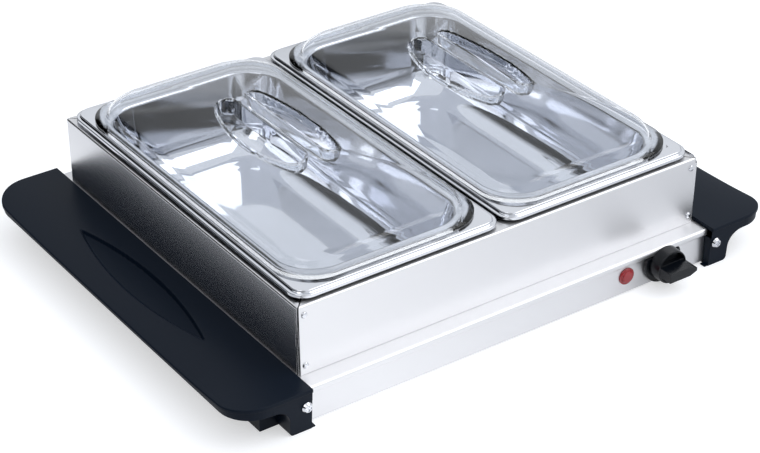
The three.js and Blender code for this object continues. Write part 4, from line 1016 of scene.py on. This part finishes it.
INNER_FINISHES = (
    (("heater_",), mica),
    (("insulation_",), fibre),
    (("thermostat_body", "lamp_body", "terminal_"), ceramic),
    (("lead_",), sleeving),
    (("cover_", "clamp_", "lamp_clip", "fuse_", "thermal_", "earth_", "thermostat_shaft"), zinc),
)
for prefixes, material in INNER_FINISHES:
    for name, node in frame["nodes"].items():
        if name.startswith(prefixes):
            node.data.materials.clear()
            node.data.materials.append(material)

# ---- floor, backdrop and light

FLOOR_SEEN = 0.52  # light added to the floor, to the camera and through the lids
FLOOR_BRIGHT, FLOOR_DIM = 0.56, 0.1  # and where metal mirrors it
DIM_LEFT, BRIGHT_LEFT, BRIGHT_RIGHT, DIM_RIGHT = -0.32, -0.18, -0.1, 0.24  # metres from the middle


def floor_lift(tree):
    """Light added to the floor. In metal it is brightest in front of the left end of the part."""
    path = add(tree, "ShaderNodeLightPath")
    place = add(tree, "ShaderNodeTexCoord")
    across = (add(tree, "ShaderNodeSeparateXYZ", None, {0: (place, "Object")}), 0)
    direct = combined(tree, "MAXIMUM", (path, "Is Camera Ray"), (path, "Is Transmission Ray"))
    plain = add(tree, "ShaderNodeMath", {"operation": "MULTIPLY", 1: FLOOR_SEEN}, {0: (direct, 0)})
    fall = ramp(tree, across, BRIGHT_RIGHT, DIM_RIGHT, FLOOR_BRIGHT, FLOOR_DIM)
    rise = ramp(tree, across, DIM_LEFT, BRIGHT_LEFT, 0.0, FLOOR_BRIGHT)
    lower = combined(tree, "MINIMUM", (fall, 0), (rise, 0))
    mirrored = combined(tree, "MULTIPLY", (path, "Is Glossy Ray"), (lower, 0))
    return combined(tree, "MAXIMUM", (plain, 0), (mirrored, 0))


def white_floor():
    bm = bmesh.new()
    bmesh.ops.create_grid(bm, x_segments=2, y_segments=2, size=6)
    mesh = bpy.data.meshes.new("studio_floor")
    bm.to_mesh(mesh)
    bm.free()
    floor = bpy.data.objects.new("studio_floor", mesh)
    bpy.context.scene.collection.objects.link(floor)
    material = bpy.data.materials.new("studio_paper_white")
    material.use_nodes = True
    tree = material.node_tree
    tree.nodes.clear()
    paper = add(tree, "ShaderNodeBsdfDiffuse", {"Color": linear("#d4d6da")})
    glow = add(
        tree, "ShaderNodeEmission", {"Color": linear("#ffffff")}, {"Strength": (floor_lift(tree), 0)},
    )
    both = add(tree, "ShaderNodeAddShader", None, {0: (paper, 0), 1: (glow, 0)})
    add(tree, "ShaderNodeOutputMaterial", None, {"Surface": (both, 0)})
    mesh.materials.append(material)


OPEN_SIDE = (-0.97, 0.22, 0)  # towards the studio's open, dark side


def white_world():
    """A white studio, dark low down on its open left side and lower still at its back."""
    world = bpy.data.worlds.new("studio")
    bpy.context.scene.world = world
    world.use_nodes = True
    tree = world.node_tree
    tree.nodes.clear()
    path = add(tree, "ShaderNodeLightPath")
    place = add(tree, "ShaderNodeTexCoord")
    parts = add(tree, "ShaderNodeSeparateXYZ", None, {0: (place, "Generated")})
    depth, height = (parts, 1), (parts, 2)  # of a direction: 1 is straight back, or straight up
    toward = add(
        tree, "ShaderNodeVectorMath", {"operation": "DOT_PRODUCT", 1: OPEN_SIDE},
        {0: (place, "Generated")},
    )
    left = ramp(tree, (toward, "Value"), 0.05, 0.3, 0.0, 1.0)
    below_left = ramp(tree, height, 0.55, 0.68, 1.0, 0.0)
    left_dark = combined(tree, "MULTIPLY", (left, 0), (below_left, 0))
    back = ramp(tree, depth, 0.1, 0.4, 0.0, 0.5)
    below_back = ramp(tree, height, 0.38, 0.47, 1.0, 0.0)
    back_dark = combined(tree, "MULTIPLY", (back, 0), (below_back, 0))
    dark = combined(tree, "MAXIMUM", (left_dark, 0), (back_dark, 0))
    studio = ramp(tree, (dark, 0), 0.0, 1.0, 1.0, 0.02)
    level = combined(tree, "MAXIMUM", (studio, 0), (path, "Is Camera Ray"))
    sky = add(tree, "ShaderNodeBackground", {"Color": linear("#f8fbff")}, {"Strength": (level, 0)})
    add(tree, "ShaderNodeOutputWorld", None, {"Surface": (sky, 0)})


def soft_box(name, place, aim_at, size, power):
    """A rectangular lamp: places and sizes in metres, power in watts."""
    lamp = bpy.data.lights.new(name, "AREA")
    lamp.shape = "RECTANGLE"
    lamp.size, lamp.size_y = size
    lamp.energy = power
    obj = bpy.data.objects.new(name, lamp)
    facing = (Vector(aim_at) - Vector(place)).to_track_quat("-Z", "Y").to_matrix().to_4x4()
    obj.matrix_world = Matrix.Translation(place) @ facing
    bpy.context.scene.collection.objects.link(obj)


white_floor()
white_world()
soft_box("key_soft_box", (1.4, -1.2, 2.2), (0, 0, 0.05), (2.4, 1.8), 24)
soft_box("fill_soft_box", (-1.8, -0.8, 1.6), (0, 0, 0.05), (1.2, 1.2), 7)

bpy.context.scene.view_settings.view_transform = "Standard"
